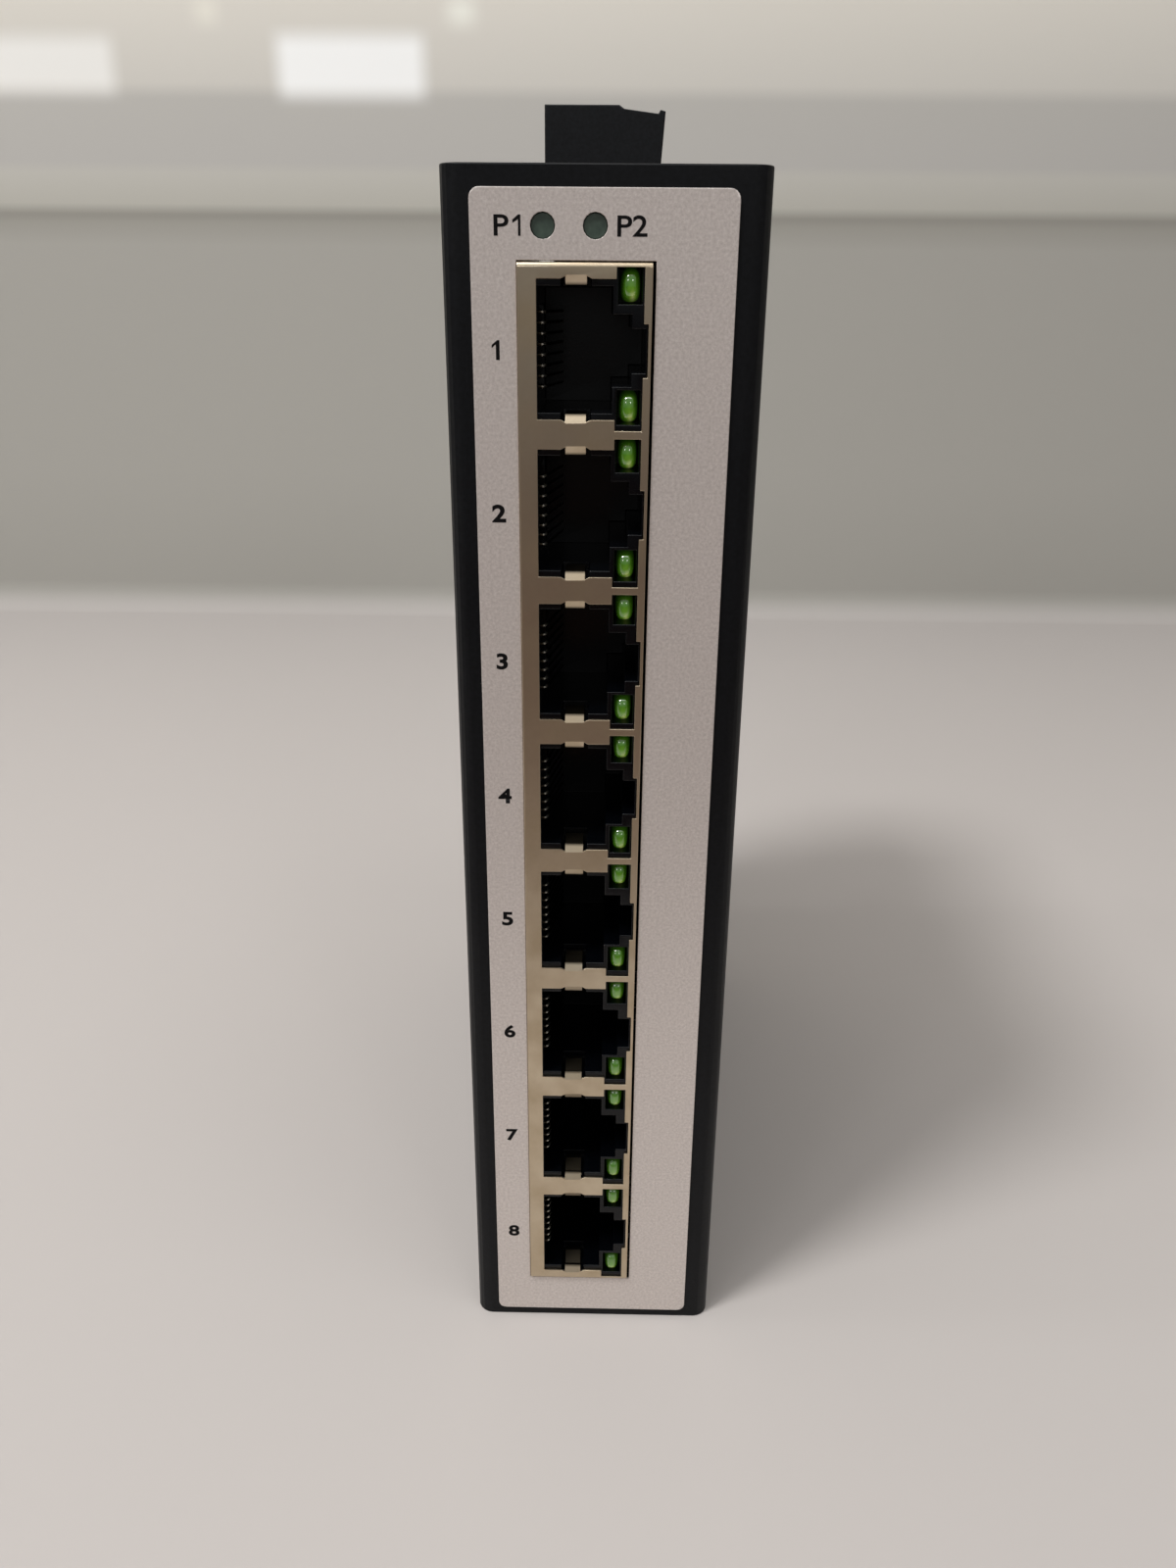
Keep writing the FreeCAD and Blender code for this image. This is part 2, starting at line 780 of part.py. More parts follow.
def make_jack_contacts(centre):
    """Eight spring wires that rise from the board and fold back at the port's mouth."""
    floor = jack_left + cavity_floor
    low = floor - comb_depth + lamp_fit
    crest = floor + contact_crest
    size = contact_size
    bend = contact_bend
    front_y = moulding_front + contact_front - bend
    free_y = front_y + contact_run
    rear_y = moulding_front + comb_start + comb_length - lamp_fit
    outline = [
        (low, rear_y),
        (low, front_y + bend),
        (low + bend, front_y),
        (crest - bend, front_y),
        (crest, front_y + bend),
        (floor + contact_lift, free_y),
        (floor + contact_lift - size, free_y),
        (crest - size, front_y + bend),
        (low + size, front_y + bend),
        (low + size, rear_y),
    ]
    first = centre - contact_pitch * (contact_count - 1) / 2 - size / 2
    return Part.makeCompound([
        prism_z(outline, first + contact_pitch * index, first + contact_pitch * index + size)
        for index in range(contact_count)
    ])


def make_port_lamps(centre):
    """The pair of green lamps above and below one port's latch groove."""
    x = jack_left + lamp_centre_across
    start = moulding_front + lamp_inset
    lamps = []
    for z in (centre - lamp_below, centre + lamp_above):
        across, up = lamp_width / 2, lamp_height / 2
        outline = bevelled(x - across, x + across, z - up, z + up, lamp_corner)
        lamps.append(prism_y(outline, start, start + lamp_length))
    return Part.makeCompound(lamps)


# ---- power lamps ---------------------------------------------------------------------------
def make_lamp_block():
    """Right-angle holder that stacks the two power lamps off the board."""
    lamp_rear = front - label_thickness + power_lamp_setback + power_lamp_body
    right = power_lamp_x[-1] + lamp_block_half
    low = power_lamp_height - lamp_block_half
    high = power_lamp_height + lamp_block_half
    collar = lamp_rear - power_lamp_collar_height
    body = block(board_face, right, collar, lamp_rear + lamp_block_depth, low, high)
    cuts = [
        rod(Vector(x, lamp_rear - power_lamp_collar_height, power_lamp_height), Y_AXIS,
            power_lamp_collar + lamp_fit, power_lamp_collar_height)
        for x in power_lamp_x
    ]
    return body.cut(cuts)


def make_power_lamp(x):
    """Round lamp with a bevelled end and a collar."""
    tip = front - label_thickness + power_lamp_setback
    radius = power_lamp_radius
    profile = [
        (0, 0),
        (radius - power_lamp_bevel, 0),
        (radius, power_lamp_bevel),
        (radius, power_lamp_body - power_lamp_collar_height),
        (power_lamp_collar, power_lamp_body - power_lamp_collar_height),
        (power_lamp_collar, power_lamp_body),
        (0, power_lamp_body),
    ]
    return turned(profile, Vector(x, tip, power_lamp_height), Y_AXIS)


# ---- board and what stands on it -----------------------------------------------------------
def make_main_board():
    outline = rectangle(board_front, board_back, board_bottom, board_top, 1.0)
    board = prism_x(outline, board_rear_face, board_face)
    hole = screw_radius + screw_clearance
    return board.cut([
        rod(Vector(board_rear_face, y, z), X_AXIS, hole, board_thickness) for y, z in standoff_places
    ])


def hexagon(y, z, radius):
    return [
        (y + radius * math.cos(math.pi * side / 3), z + radius * math.sin(math.pi * side / 3))
        for side in range(6)
    ]


def make_board_standoffs():
    """Hexagonal spacers between the shell's side and the board."""
    spacers = []
    for y, z in standoff_places:
        spacer = prism_x(hexagon(y, z, standoff_radius), -inside, board_rear_face)
        hole = rod(Vector(-inside, y, z), X_AXIS, screw_radius + screw_clearance, inside + board_rear_face)
        spacers.append(spacer.cut(hole))
    return Part.makeCompound(spacers)


def make_board_screws():
    """Hexagon-head screws that hold the board to its spacers."""
    screws = []
    for y, z in standoff_places:
        head = prism_x(hexagon(y, z, standoff_radius), board_face, board_face + board_screw_head)
        shank = rod(Vector(board_face - board_screw_length, y, z), X_AXIS, screw_radius, board_screw_length)
        screws.append(joined([head, shank]))
    return Part.makeCompound(screws)


def make_switch_chip():
    """Square flat package with leads on all four sides."""
    half = chip_side / 2
    low = board_face + lead_thickness
    y_mid, z_mid = chip_centre_y, chip_centre_z
    outline = rectangle(y_mid - half, y_mid + half, z_mid - half, z_mid + half, chip_bevel)
    body = prism_x(outline, low, board_face + chip_height)
    leads = []
    count = int((chip_side - 2 * lead_width) / lead_pitch)
    reach = half + lead_reach
    for index in range(count):
        start = (index - (count - 1) / 2) * lead_pitch - lead_width / 2
        end = start + lead_width
        leads.append(block(board_face, low, y_mid + start, y_mid + end, z_mid - reach, z_mid + reach))
        leads.append(block(board_face, low, y_mid - reach, y_mid + reach, z_mid + start, z_mid + end))
    hollow = half - lead_reach
    leads_frame = joined(leads).cut(
        block(board_face, low, y_mid - hollow, y_mid + hollow, z_mid - hollow, z_mid + hollow)
    )
    return joined([body] + leads_frame.Solids)


def make_chip_heatsink():
    """Finned block on the chip."""
    low = board_face + chip_height
    half = sink_side / 2
    y_low, z_low = chip_centre_y - half, chip_centre_z - half
    gap = (sink_side - sink_fins * sink_fin) / (sink_fins - 1)
    points = [(low, y_low), (low, y_low + sink_side)]
    for index in range(sink_fins):
        right = y_low + sink_side - index * (sink_fin + gap)
        points += [(low + sink_height, right), (low + sink_height, right - sink_fin)]
        if index < sink_fins - 1:
            points += [(low + sink_base, right - sink_fin), (low + sink_base, right - sink_fin - gap)]
    return prism_z(points, z_low, z_low + sink_side)


def make_magnetics(index):
    """Transformer module that serves two neighbouring ports."""
    centre = (port_heights[2 * index] + port_heights[2 * index + 1]) / 2
    y_low = jack_back + magnetics_start_gap
    y_mid = y_low + magnetics_width / 2
    lift = lead_thickness
    half = magnetics_length / 2
    body = prism_y(
        [
            (board_face + lift, centre - half),
            (board_face + magnetics_height, centre - half, chip_bevel),
            (board_face + magnetics_height, centre + half, chip_bevel),
            (board_face + lift, centre + half),
        ],
        y_low,
        y_low + magnetics_width,
    )
    count = int((magnetics_length - 2 * lead_width) / lead_pitch)
    reach = magnetics_width / 2 + lead_reach
    leads = []
    for step in range(count):
        z = centre + (step - (count - 1) / 2) * lead_pitch - lead_width / 2
        leads.append(block(board_face, board_face + lift, y_mid - reach, y_mid + reach, z, z + lead_width))
    return joined([body] + leads)


def make_crystal():
    z_mid = chip_centre_z + crystal_rise
    shape = rectangle(
        crystal_y - crystal_length / 2, crystal_y + crystal_length / 2,
        z_mid - crystal_width / 2, z_mid + crystal_width / 2, crystal_width * 0.48,
    )
    return prism_x(shape, board_face, board_face + crystal_height)


def make_power_inductor():
    """Square shielded choke with a round core."""
    half = inductor_side / 2
    z_mid = chip_centre_z + inductor_rise
    base = prism_x(
        rectangle(inductor_y - half, inductor_y + half, z_mid - half, z_mid + half, chip_bevel * 3),
        board_face, board_face + inductor_height,
    )
    groove_depth = can_groove * 2
    groove = Vector(board_face + inductor_height - groove_depth, inductor_y, z_mid)
    core = rod(groove, X_AXIS, inductor_core, groove_depth)
    return base.cut(rod(groove, X_AXIS, inductor_core + can_groove, groove_depth).cut(core))


def make_capacitor(radius, height, z):
    """Electrolytic can on its square plastic base."""
    low = board_face + can_base
    profile = [
        (0, 0),
        (radius, 0),
        (radius, height - can_groove),
        (radius - can_groove, height),
        (0, height),
    ]
    can = turned(profile, Vector(low, can_y, z), X_AXIS)
    outline = bevelled(can_y - radius, can_y + radius, z - radius, z + radius, can_base)
    return joined([can, prism_x(outline, board_face, low)])


def make_regulator():
    """Power transistor package with a tab and three leads."""
    z_mid = chip_centre_z + regulator_rise
    half = regulator_side / 2
    y_low, y_high = regulator_y - regulator_depth / 2, regulator_y + regulator_depth / 2
    body = block(board_face + lead_thickness, board_face + regulator_height,
                 y_low + regulator_depth / 4, y_high, z_mid - half, z_mid + half)
    tab = block(board_face, board_face + lead_thickness, y_low, y_high, z_mid - half, z_mid + half)
    pieces = [body, tab]
    for offset in (-half * 0.7, 0, half * 0.7):
        pieces.append(
            block(board_face, board_face + lead_thickness, y_high, y_high + 2 * lead_reach,
                  z_mid + offset - lead_width / 2, z_mid + offset + lead_width / 2)
        )
    return joined(pieces)


# ---- pluggable power terminal --------------------------------------------------------------
def make_terminal_header():
    """Open-topped shroud on the board's upper edge, which the plug's nose drops into."""
    body = block(board_face, header_right, header_front_y, header_back_y, header_bottom, header_top)
    cavity = block(
        nose_left - nose_fit, nose_right + nose_fit, plug_front_y - nose_fit, plug_back_y + nose_fit,
        header_bottom + header_floor, header_top,
    )
    cuts = [cavity]
    half = pin_size / 2
    for y in pole_places:
        cuts.append(block(board_face, pin_x + half, y - half, y + half,
                          header_bottom + header_floor / 2 - half, header_bottom + header_floor / 2 + half))
        cuts.append(block(pin_x - half, pin_x + half, y - half, y + half,
                          header_bottom + header_floor / 2, header_bottom + header_floor))
    return body.cut(cuts)


def make_header_pins():
    """Square pins that leave the board and turn up into the shroud."""
    half = pin_size / 2
    middle = header_bottom + header_floor / 2
    pins = []
    for y in pole_places:
        shape = [
            (board_face, middle - half),
            (pin_x + half, middle - half),
            (pin_x + half, header_top - pin_top_gap),
            (pin_x - half, header_top - pin_top_gap),
            (pin_x - half, middle + half),
            (board_face, middle + half),
        ]
        pins.append(prism_y(shape, y - half, y + half))
    return Part.makeCompound(pins)


def make_plug_body():
    """Moulded plug: stepped body with a ridge above the screws, and a nose for the shroud."""
    top = plug_top_z
    step_end = plug_step_x + plug_step_run
    ridge_foot = top - plug_step_drop - plug_slope_drop
    ridge_peak = ridge_foot + plug_ridge_rise
    bevel = nose_fit * 2
    section = [
        (plug_left, plug_seat_z),
        (plug_left, top),
        (plug_step_x, top),
        (step_end, top - plug_step_drop),
        (plug_ridge_left, ridge_foot),
        (plug_ridge_left + plug_ridge_run, ridge_peak),
        (plug_right, ridge_peak - plug_ridge_fall),
        (plug_right - plug_right_taper, plug_seat_z),
        (nose_right, plug_seat_z),
        (nose_right, nose_tip_z + bevel),
        (nose_right - bevel, nose_tip_z),
        (nose_left + bevel, nose_tip_z),
        (nose_left, nose_tip_z + bevel),
        (nose_left, plug_seat_z),
    ]
    body = prism_y(section, plug_front_y, plug_back_y)
    cuts = []
    half = wire_hole_size / 2
    wide = half + wire_funnel
    screw_z = top - screw_hole_below_top
    fork_half = pin_size / 2 + pin_fit + fork_wall + fork_fit
    for y in pole_places:
        well = block(wire_hole_x - half, wire_hole_x + half, y - half, y + half, top - wire_hole_depth, top)
        rim = block(wire_hole_x - wide, wire_hole_x + wide, y - wide, y + wide, top - wire_funnel, top)
        bore = rod(Vector(wire_hole_x, y, screw_z), X_AXIS, screw_hole_radius, plug_right - wire_hole_x)
        fork = block(pin_x - fork_half, pin_x + fork_half, y - fork_half, y + fork_half,
                     nose_tip_z, top - wire_hole_depth)
        cuts += [well, rim, bore, fork]
    return body.cut(cuts)


def make_wire_clamps():
    """Rising cage of each pole, which the screw draws against the wire."""
    half = wire_hole_size / 2 - clamp_fit
    inner = half - clamp_wall
    high = plug_top_z - clamp_below_top
    low = high - clamp_height
    screw_z = plug_top_z - screw_hole_below_top
    clamps = []
    for y in pole_places:
        cage = block(wire_hole_x - half, wire_hole_x + half, y - half, y + half, low, high)
        way = block(wire_hole_x - inner, wire_hole_x + inner, y - inner, y + inner, low, high)
        tapped = rod(Vector(wire_hole_x, y, screw_z), X_AXIS, plug_shank_radius + screw_clearance, half)
        clamps.append(cage.cut([way, tapped]))
    return Part.makeCompound(clamps)


def make_plug_screws():
    """Slotted terminal screws, sunk in the side of the plug."""
    screw_z = plug_top_z - screw_hole_below_top
    head_face = plug_right - plug_right_taper - plug_screw_sink
    tip = head_face - (wire_hole_x + wire_hole_size / 2 - clamp_fit - clamp_wall)
    screws = []
    for y in pole_places:
        profile = [
            (0, 0),
            (plug_screw_radius, 0),
            (plug_screw_radius, plug_screw_head),
            (plug_shank_radius, plug_screw_head),
            (plug_shank_radius, tip),
            (0, tip),
        ]
        start = Vector(head_face, y, screw_z)
        slot = block(head_face - driver_slot_depth, head_face, y - plug_screw_radius, y + plug_screw_radius,
                     screw_z - driver_slot / 2, screw_z + driver_slot / 2)
        screws.append(turned(profile, start, -X_AXIS).cut(slot))
    return Part.makeCompound(screws)


def make_plug_contacts():
    """Sprung sockets in the plug's nose, one for each pin of the header."""
    inner = pin_size / 2 + pin_fit
    outer = inner + fork_wall
    low = nose_tip_z + fork_inset
    high = plug_top_z - wire_hole_depth
    return Part.makeCompound([
        block(pin_x - outer, pin_x + outer, y - outer, y + outer, low, high).cut(
            block(pin_x - inner, pin_x + inner, y - inner, y + inner, low, high)
        )
        for y in pole_places
    ])


# ---- rail bracket, latch and spring --------------------------------------------------------
def make_rail_bracket():
    """Folded channel whose cheeks carry the rail and hook over its upper lip."""
    half = bracket_width / 2
    sheet = bracket_sheet
    low, high = rail_centre - bracket_half, rail_centre + bracket_half
    channel = prism_z(
        [
            (-half, back, sheet),
            (half, back, sheet),
            (half, hook_outer),
            (half - sheet, hook_outer),
            (half - sheet, bracket_face, sheet / 4),
            (-half + sheet, bracket_face, sheet / 4),
            (-half + sheet, hook_outer),
            (-half, hook_outer),
        ],
        low,
        high,
    )
    lip = rail_centre + rail_half
    cheek = [
        (back, low),
        (back, high),
        (seat_plane, high, 1.0),
        (hook_outer, high - bracket_bevel, 1.0),
        (hook_outer, lip - hook_grip, hook_nose),
        (hook_inner, lip - hook_grip),
        (hook_inner, lip + rail_play),
        (seat_plane, lip + rail_play),
        (seat_plane, low + bracket_bevel),
        (seat_plane - bracket_bevel, low),
    ]
    bracket = channel.common(prism_x(cheek, -half, half))
    anchor_low = spring_bottom - spring_anchor_sheet
    reach = bracket_face + spring_anchor_reach
    anchor = prism_x(
        [
            (back, anchor_low, spring_anchor_sheet),
            (reach, anchor_low),
            (reach, spring_bottom),
            (back, spring_bottom),
        ],
        -spring_anchor_half,
        spring_anchor_half,
    )
    slit = bend_relief / 2
    pane = block(-spring_anchor_half - slit, spring_anchor_half + slit, back, bracket_face,
                 anchor_low, spring_bottom + spring_anchor_reach)
    bracket = joined([bracket.cut(pane), anchor])
    half = spring_anchor_half
    bridge = block(-half, half, back, bracket_face, anchor_low - slit, anchor_low + slit)
    bracket = joined([bracket, bridge])
    cuts = []
    for x, z in bracket_screw_places:
        cuts.append(flat_head_seat(Vector(x, bracket_face, z), -Y_AXIS, 2 * bracket_sheet))
    for x, z in rivet_places:
        cuts.append(rod(Vector(x, back, z), Y_AXIS, rivet_radius + rivet_fit, bracket_sheet))
    return bracket.cut(cuts)


def make_rail_latch():
    """Sliding latch with a hook for the rail's lower lip and a tongue for a screwdriver."""
    hook_top = rail_centre - rail_half + hook_grip
    shoulder = rail_centre - latch_shoulder
    foot = rail_centre - latch_foot
    top = rail_centre + latch_upper_end
    bottom = rail_centre - latch_lower_end
    section = [
        (latch_inner, top),
        (latch_outer, top),
        (latch_outer, shoulder, 0.5),
        (hook_inner, shoulder),
        (hook_inner, hook_top),
        (hook_inner + hook_nose, hook_top),
        (hook_outer, shoulder, 1.0),
        (hook_outer, foot, 1.0),
        (latch_outer, foot, 1.0),
        (latch_outer, bottom),
        (latch_inner, bottom),
    ]
    latch = prism_x(section, -latch_half, latch_half)
    tongue_top = rail_centre - tongue_start
    cuts = []
    for side in (-1, 1):
        edges = sorted([side * tongue_half, side * (latch_half + latch_play)])
        cuts.append(block(*edges, back, hook_outer, bottom - latch_play, tongue_top))
    slot_z = bottom + tongue_slot_inset
    slot = rectangle(-tongue_slot_half, tongue_slot_half, slot_z - tongue_slot / 2, slot_z + tongue_slot / 2)
    cuts.append(prism_y(slot, back, hook_outer))
    window_low = spring_bottom - spring_anchor_sheet - rivet_slot_play
    window = rectangle(-spring_window_half, spring_window_half, window_low, spring_top)
    cuts.append(prism_y(window, back, hook_outer))
    half = rivet_radius + rivet_slot_play
    for x, z in rivet_places:
        rivet_slot = rectangle(x - half, x + half, z - half, z + half + latch_travel, half * 0.98)
        cuts.append(prism_y(rivet_slot, back, latch_outer + latch_lift))
    return latch.cut(cuts)


def make_latch_spring():
    """Compression spring between the bracket's anchor and the latch's window."""
    rise = spring_top - spring_bottom - spring_wire
    steps = spring_turns * spring_steps
    start = Vector(0, spring_centre_y, spring_bottom + spring_wire / 2)
    path = []
    for step in range(steps + 1):
        angle = 2 * math.pi * step / spring_steps
        around = Vector(math.cos(angle), math.sin(angle), 0) * spring_radius
        path.append(start + around + Z_AXIS * (rise * step / steps))
    half = spring_wire / 2
    section = Part.makePolygon([
        path[0] + X_AXIS * half,
        path[0] + Z_AXIS * half,
        path[0] - X_AXIS * half,
        path[0] - Z_AXIS * half,
        path[0] + X_AXIS * half,
    ])
    return Part.makePolygon(path).makePipeShell([section], True, False, 1)


def make_latch_rivets():
    """Shouldered rivets that hold the latch in the channel."""
    seat = latch_outer + latch_lift - back
    profile = [
        (0, 0),
        (rivet_radius, 0),
        (rivet_radius, seat),
        (rivet_head_radius, seat),
        (rivet_head_radius - rivet_head_bevel, seat + rivet_head_height),
        (0, seat + rivet_head_height),
    ]
    return Part.makeCompound([turned(profile, Vector(x, back, z), Y_AXIS) for x, z in rivet_places])


def make_bracket_screws():
    return Part.makeCompound([
        flat_head_screw(Vector(x, bracket_face, z), -Y_AXIS, bracket_screw_length)
        for x, z in bracket_screw_places
    ])


# ---- all the pieces ------------------------------------------------------------------------
pieces = {
    "front_shell": make_front_shell(),
    "rear_chassis": make_rear_chassis(),
    "front_label": make_front_label(),
    "side_screws": make_side_screws(),
    "ground_screw": make_ground_screw(),
    "ground_washer": make_ground_washer(),
    "jack_shield": make_jack_shield(),
    "lamp_block": make_lamp_block(),
    "main_board": make_main_board(),
    "board_standoffs": make_board_standoffs(),
    "board_screws": make_board_screws(),
    "switch_chip": make_switch_chip(),
    "chip_heatsink": make_chip_heatsink(),
    "crystal": make_crystal(),
    "power_inductor": make_power_inductor(),
    "input_capacitor": make_capacitor(input_can_radius, input_can_height, input_can_z),
    "output_capacitor": make_capacitor(output_can_radius, output_can_height, output_can_z),
    "regulator": make_regulator(),
    "terminal_header": make_terminal_header(),
    "header_pins": make_header_pins(),
    "plug_body": make_plug_body(),
    "wire_clamps": make_wire_clamps(),
    "plug_screws": make_plug_screws(),
    "plug_contacts": make_plug_contacts(),
    "rail_bracket": make_rail_bracket(),
    "rail_latch": make_rail_latch(),
    "latch_spring": make_latch_spring(),
    "latch_rivets": make_latch_rivets(),
    "bracket_screws": make_bracket_screws(),
}
for index, centre in enumerate(port_heights):
    pieces[f"jack_housing_{index + 1}"] = make_jack_housing(centre)
    pieces[f"jack_contacts_{index + 1}"] = make_jack_contacts(centre)
    pieces[f"port_lamps_{index + 1}"] = make_port_lamps(centre)
for index, x in enumerate(power_lamp_x):
    pieces[f"power_lamp_{index + 1}"] = make_power_lamp(x)
for index in range(magnetics_count):
    pieces[f"magnetics_{index + 1}"] = make_magnetics(index)

os.makedirs("parts", exist_ok=True)
for name, shape in pieces.items():
    shape.exportStep(f"parts/{name}.step")
print(f"{len(pieces)} nodes, {sum(len(shape.Solids) for shape in pieces.values())} solids")
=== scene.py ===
import bmesh, bpy, json, math
from mathutils import Matrix, Quaternion, Vector

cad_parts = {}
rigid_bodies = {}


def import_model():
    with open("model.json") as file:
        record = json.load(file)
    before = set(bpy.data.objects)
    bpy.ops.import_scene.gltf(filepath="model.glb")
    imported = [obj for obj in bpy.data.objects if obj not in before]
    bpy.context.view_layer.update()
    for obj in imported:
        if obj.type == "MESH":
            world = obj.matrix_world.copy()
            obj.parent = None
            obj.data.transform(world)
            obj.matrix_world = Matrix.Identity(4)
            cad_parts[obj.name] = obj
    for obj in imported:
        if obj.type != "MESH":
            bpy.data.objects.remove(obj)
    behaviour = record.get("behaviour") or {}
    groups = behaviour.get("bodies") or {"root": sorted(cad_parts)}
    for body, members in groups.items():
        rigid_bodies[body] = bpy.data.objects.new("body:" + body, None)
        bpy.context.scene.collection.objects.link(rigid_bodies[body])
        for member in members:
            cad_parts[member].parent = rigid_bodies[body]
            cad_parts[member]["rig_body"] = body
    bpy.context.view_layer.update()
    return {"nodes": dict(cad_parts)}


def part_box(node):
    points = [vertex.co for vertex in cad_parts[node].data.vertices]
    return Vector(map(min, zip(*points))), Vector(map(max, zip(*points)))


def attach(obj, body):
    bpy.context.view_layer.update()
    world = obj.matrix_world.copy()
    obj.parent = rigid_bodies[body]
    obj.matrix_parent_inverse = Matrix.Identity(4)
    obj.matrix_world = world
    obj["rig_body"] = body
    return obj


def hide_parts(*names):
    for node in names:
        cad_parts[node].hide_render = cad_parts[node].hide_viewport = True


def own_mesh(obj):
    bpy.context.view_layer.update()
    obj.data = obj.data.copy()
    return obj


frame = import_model()
nodes = frame["nodes"]
mm = 0.001
portCount = 8
print("frame loaded:", len(nodes), "nodes")


def linked(name, data):                           # puts a mesh, curve, lamp or camera into the scene
    shape = bpy.data.objects.new(name, data)
    bpy.context.scene.collection.objects.link(shape)
    return shape


# camera first: a phone's lens just above the top port, tipped down at the ports, in mm and degrees
camera = {"place": (0.42, -174.1, 132.1), "pitch": -22.53, "yaw": -0.77, "roll": 0.48, "lens": 27.0,
          "sensor": 36.0, "nearest": 5.0}


def setCamera():
    pitch, yaw = math.radians(camera["pitch"]), math.radians(camera["yaw"])
    forward = Vector((math.sin(yaw) * math.cos(pitch), math.cos(yaw) * math.cos(pitch), math.sin(pitch)))
    turn = forward.to_track_quat("-Z", "Y") @ Quaternion((0, 0, 1), math.radians(camera["roll"]))
    data = bpy.data.cameras.new("bench_camera")
    data.lens = camera["lens"]
    data.sensor_width = camera["sensor"]          # along the frame's long side
    data.clip_start = camera["nearest"] * mm
    holder = linked("bench_camera", data)
    holder.matrix_world = Matrix.LocRotScale(Vector(camera["place"]) * mm, turn, None)
    bpy.context.scene.camera = holder


setCamera()
print("camera set")


# colours and shader nodes
def hexColour(code):                              # sRGB hex to the linear values that a shader takes
    channels = [int(code[at:at + 2], 16) / 255 for at in (0, 2, 4)]
    return (*[c / 12.92 if c <= 0.04045 else ((c + 0.055) / 1.055) ** 2.4 for c in channels], 1.0)


def addNode(tree, kind, inputs=None, links=None, into=None, stops=(), **settings):
    # inputs: socket values, links: sockets fed by others, into: outputs led to others,
    # stops: a colour ramp's (place, hex or grey). A Mix node's colours are sockets 6 and 7, its result is 2
    node = tree.nodes.new(kind)
    for name, value in settings.items():
        setattr(node, name, value)
    for socket, value in (inputs or {}).items():
        node.inputs[socket].default_value = value
    for socket, source in (links or {}).items():
        tree.links.new(source, node.inputs[socket])
    for socket, target in (into or {}).items():
        tree.links.new(node.outputs[socket], target)
    for at, (place, shade) in enumerate(stops):
        ramp = node.color_ramp.elements
        stop = ramp[at] if at < len(ramp) else ramp.new(place)
        stop.position = place
        stop.color = hexColour(shade) if isinstance(shade, str) else (shade, shade, shade, 1)
    return node


def newMaterial(name, **surface):                 # surface: values that are the same all over
    material = bpy.data.materials.new(name)
    material.use_nodes = True
    tree = material.node_tree
    tree.nodes.clear()
    shader = addNode(tree, "ShaderNodeBsdfPrincipled", inputs=surface)
    addNode(tree, "ShaderNodeOutputMaterial", links={"Surface": shader.outputs["BSDF"]})
    place = addNode(tree, "ShaderNodeTexCoord").outputs["Object"]
    return material, tree, shader, place


def speckle(tree, place, grain, stretch=(1, 1, 1), detail=2.0, roughness=0.5):
    # noise whose lumps are `grain` mm across, drawn out along an axis where stretch is below 1
    spread = addNode(tree, "ShaderNodeMapping", inputs={"Scale": stretch}, links={"Vector": place})
    noise = addNode(tree, "ShaderNodeTexNoise", links={"Vector": spread.outputs["Vector"]},
                    inputs={"Scale": 1 / (grain * mm), "Detail": detail, "Roughness": roughness})
    return noise.outputs["Fac"]


def tones(low, high, ends=(0.3, 0.7)):            # ramp stops where a speckle is darkest and lightest
    return list(zip(ends, (low, high)))


def dress(tree, shader, pattern, colours, rough=None, depth=0.0):
    # one pattern gives a surface its colours, and where asked its roughness and its height in mm
    addNode(tree, "ShaderNodeValToRGB", links={"Fac": pattern}, stops=colours,
            into={"Color": shader.inputs["Base Color"]})
    if rough:
        addNode(tree, "ShaderNodeValToRGB", links={"Fac": pattern}, stops=rough,
                into={"Color": shader.inputs["Roughness"]})
    if depth:
        addNode(tree, "ShaderNodeBump", inputs={"Distance": depth * mm}, links={"Height": pattern},
                into={"Normal": shader.inputs["Normal"]})


# finishes: one dictionary for each, lengths in mm
caseFinish = {"dark": "08090B", "light": "101114", "grain": 0.5, "depth": 0.015, "highGloss": 0.42,
              "lowGloss": 0.48, "reflection": 0.18, "cloud": 14.0}


def powderCoatedSteel():                          # steel, fine powder baked on: satin, slightly pebbled
    material, tree, shader, place = newMaterial(
        "powder_coated_steel", **{"Specular IOR Level": caseFinish["reflection"]})
    dress(tree, shader, speckle(tree, place, caseFinish["grain"], detail=3.0),
          tones(caseFinish["dark"], caseFinish["light"], ends=(0.3, 0.75)), depth=caseFinish["depth"])
    addNode(tree, "ShaderNodeValToRGB", links={"Fac": speckle(tree, place, caseFinish["cloud"])},
            stops=tones(caseFinish["highGloss"], caseFinish["lowGloss"], ends=(0.35, 0.7)),
            into={"Color": shader.inputs["Roughness"]})
    return material


labelFinish = {"dark": "C2B8B2", "mid": "D0C6C0", "light": "DFD6D0", "grain": 0.32, "depth": 0.006}


def printedPolyester():                           # film printed with silver ink: matt, with fine flecks
    material, tree, shader, place = newMaterial("silver_printed_polyester", Metallic=0.3, Roughness=0.38)
    dress(tree, shader, speckle(tree, place, labelFinish["grain"], detail=4.0, roughness=0.7),
          [(0.32, labelFinish["dark"]), (0.5, labelFinish["mid"]), (0.7, labelFinish["light"])],
          depth=labelFinish["depth"])
    return material


# the last three entries lay painted shade on the shield between two depths behind its front face, in mm
shieldFinish = {"dark": "C0AF94", "mid": "CBBBA2", "light": "D6C8B0", "darkGloss": 0.38, "lightGloss": 0.3,
                "rolling": 0.12, "drawnOut": 0.06, "stain": 4.0, "depth": 0.004, "tabShade": "3A352C",
                "tabShadeFrom": (0.33, 0.5), "tabShadeTo": (5.5, 6.5)}


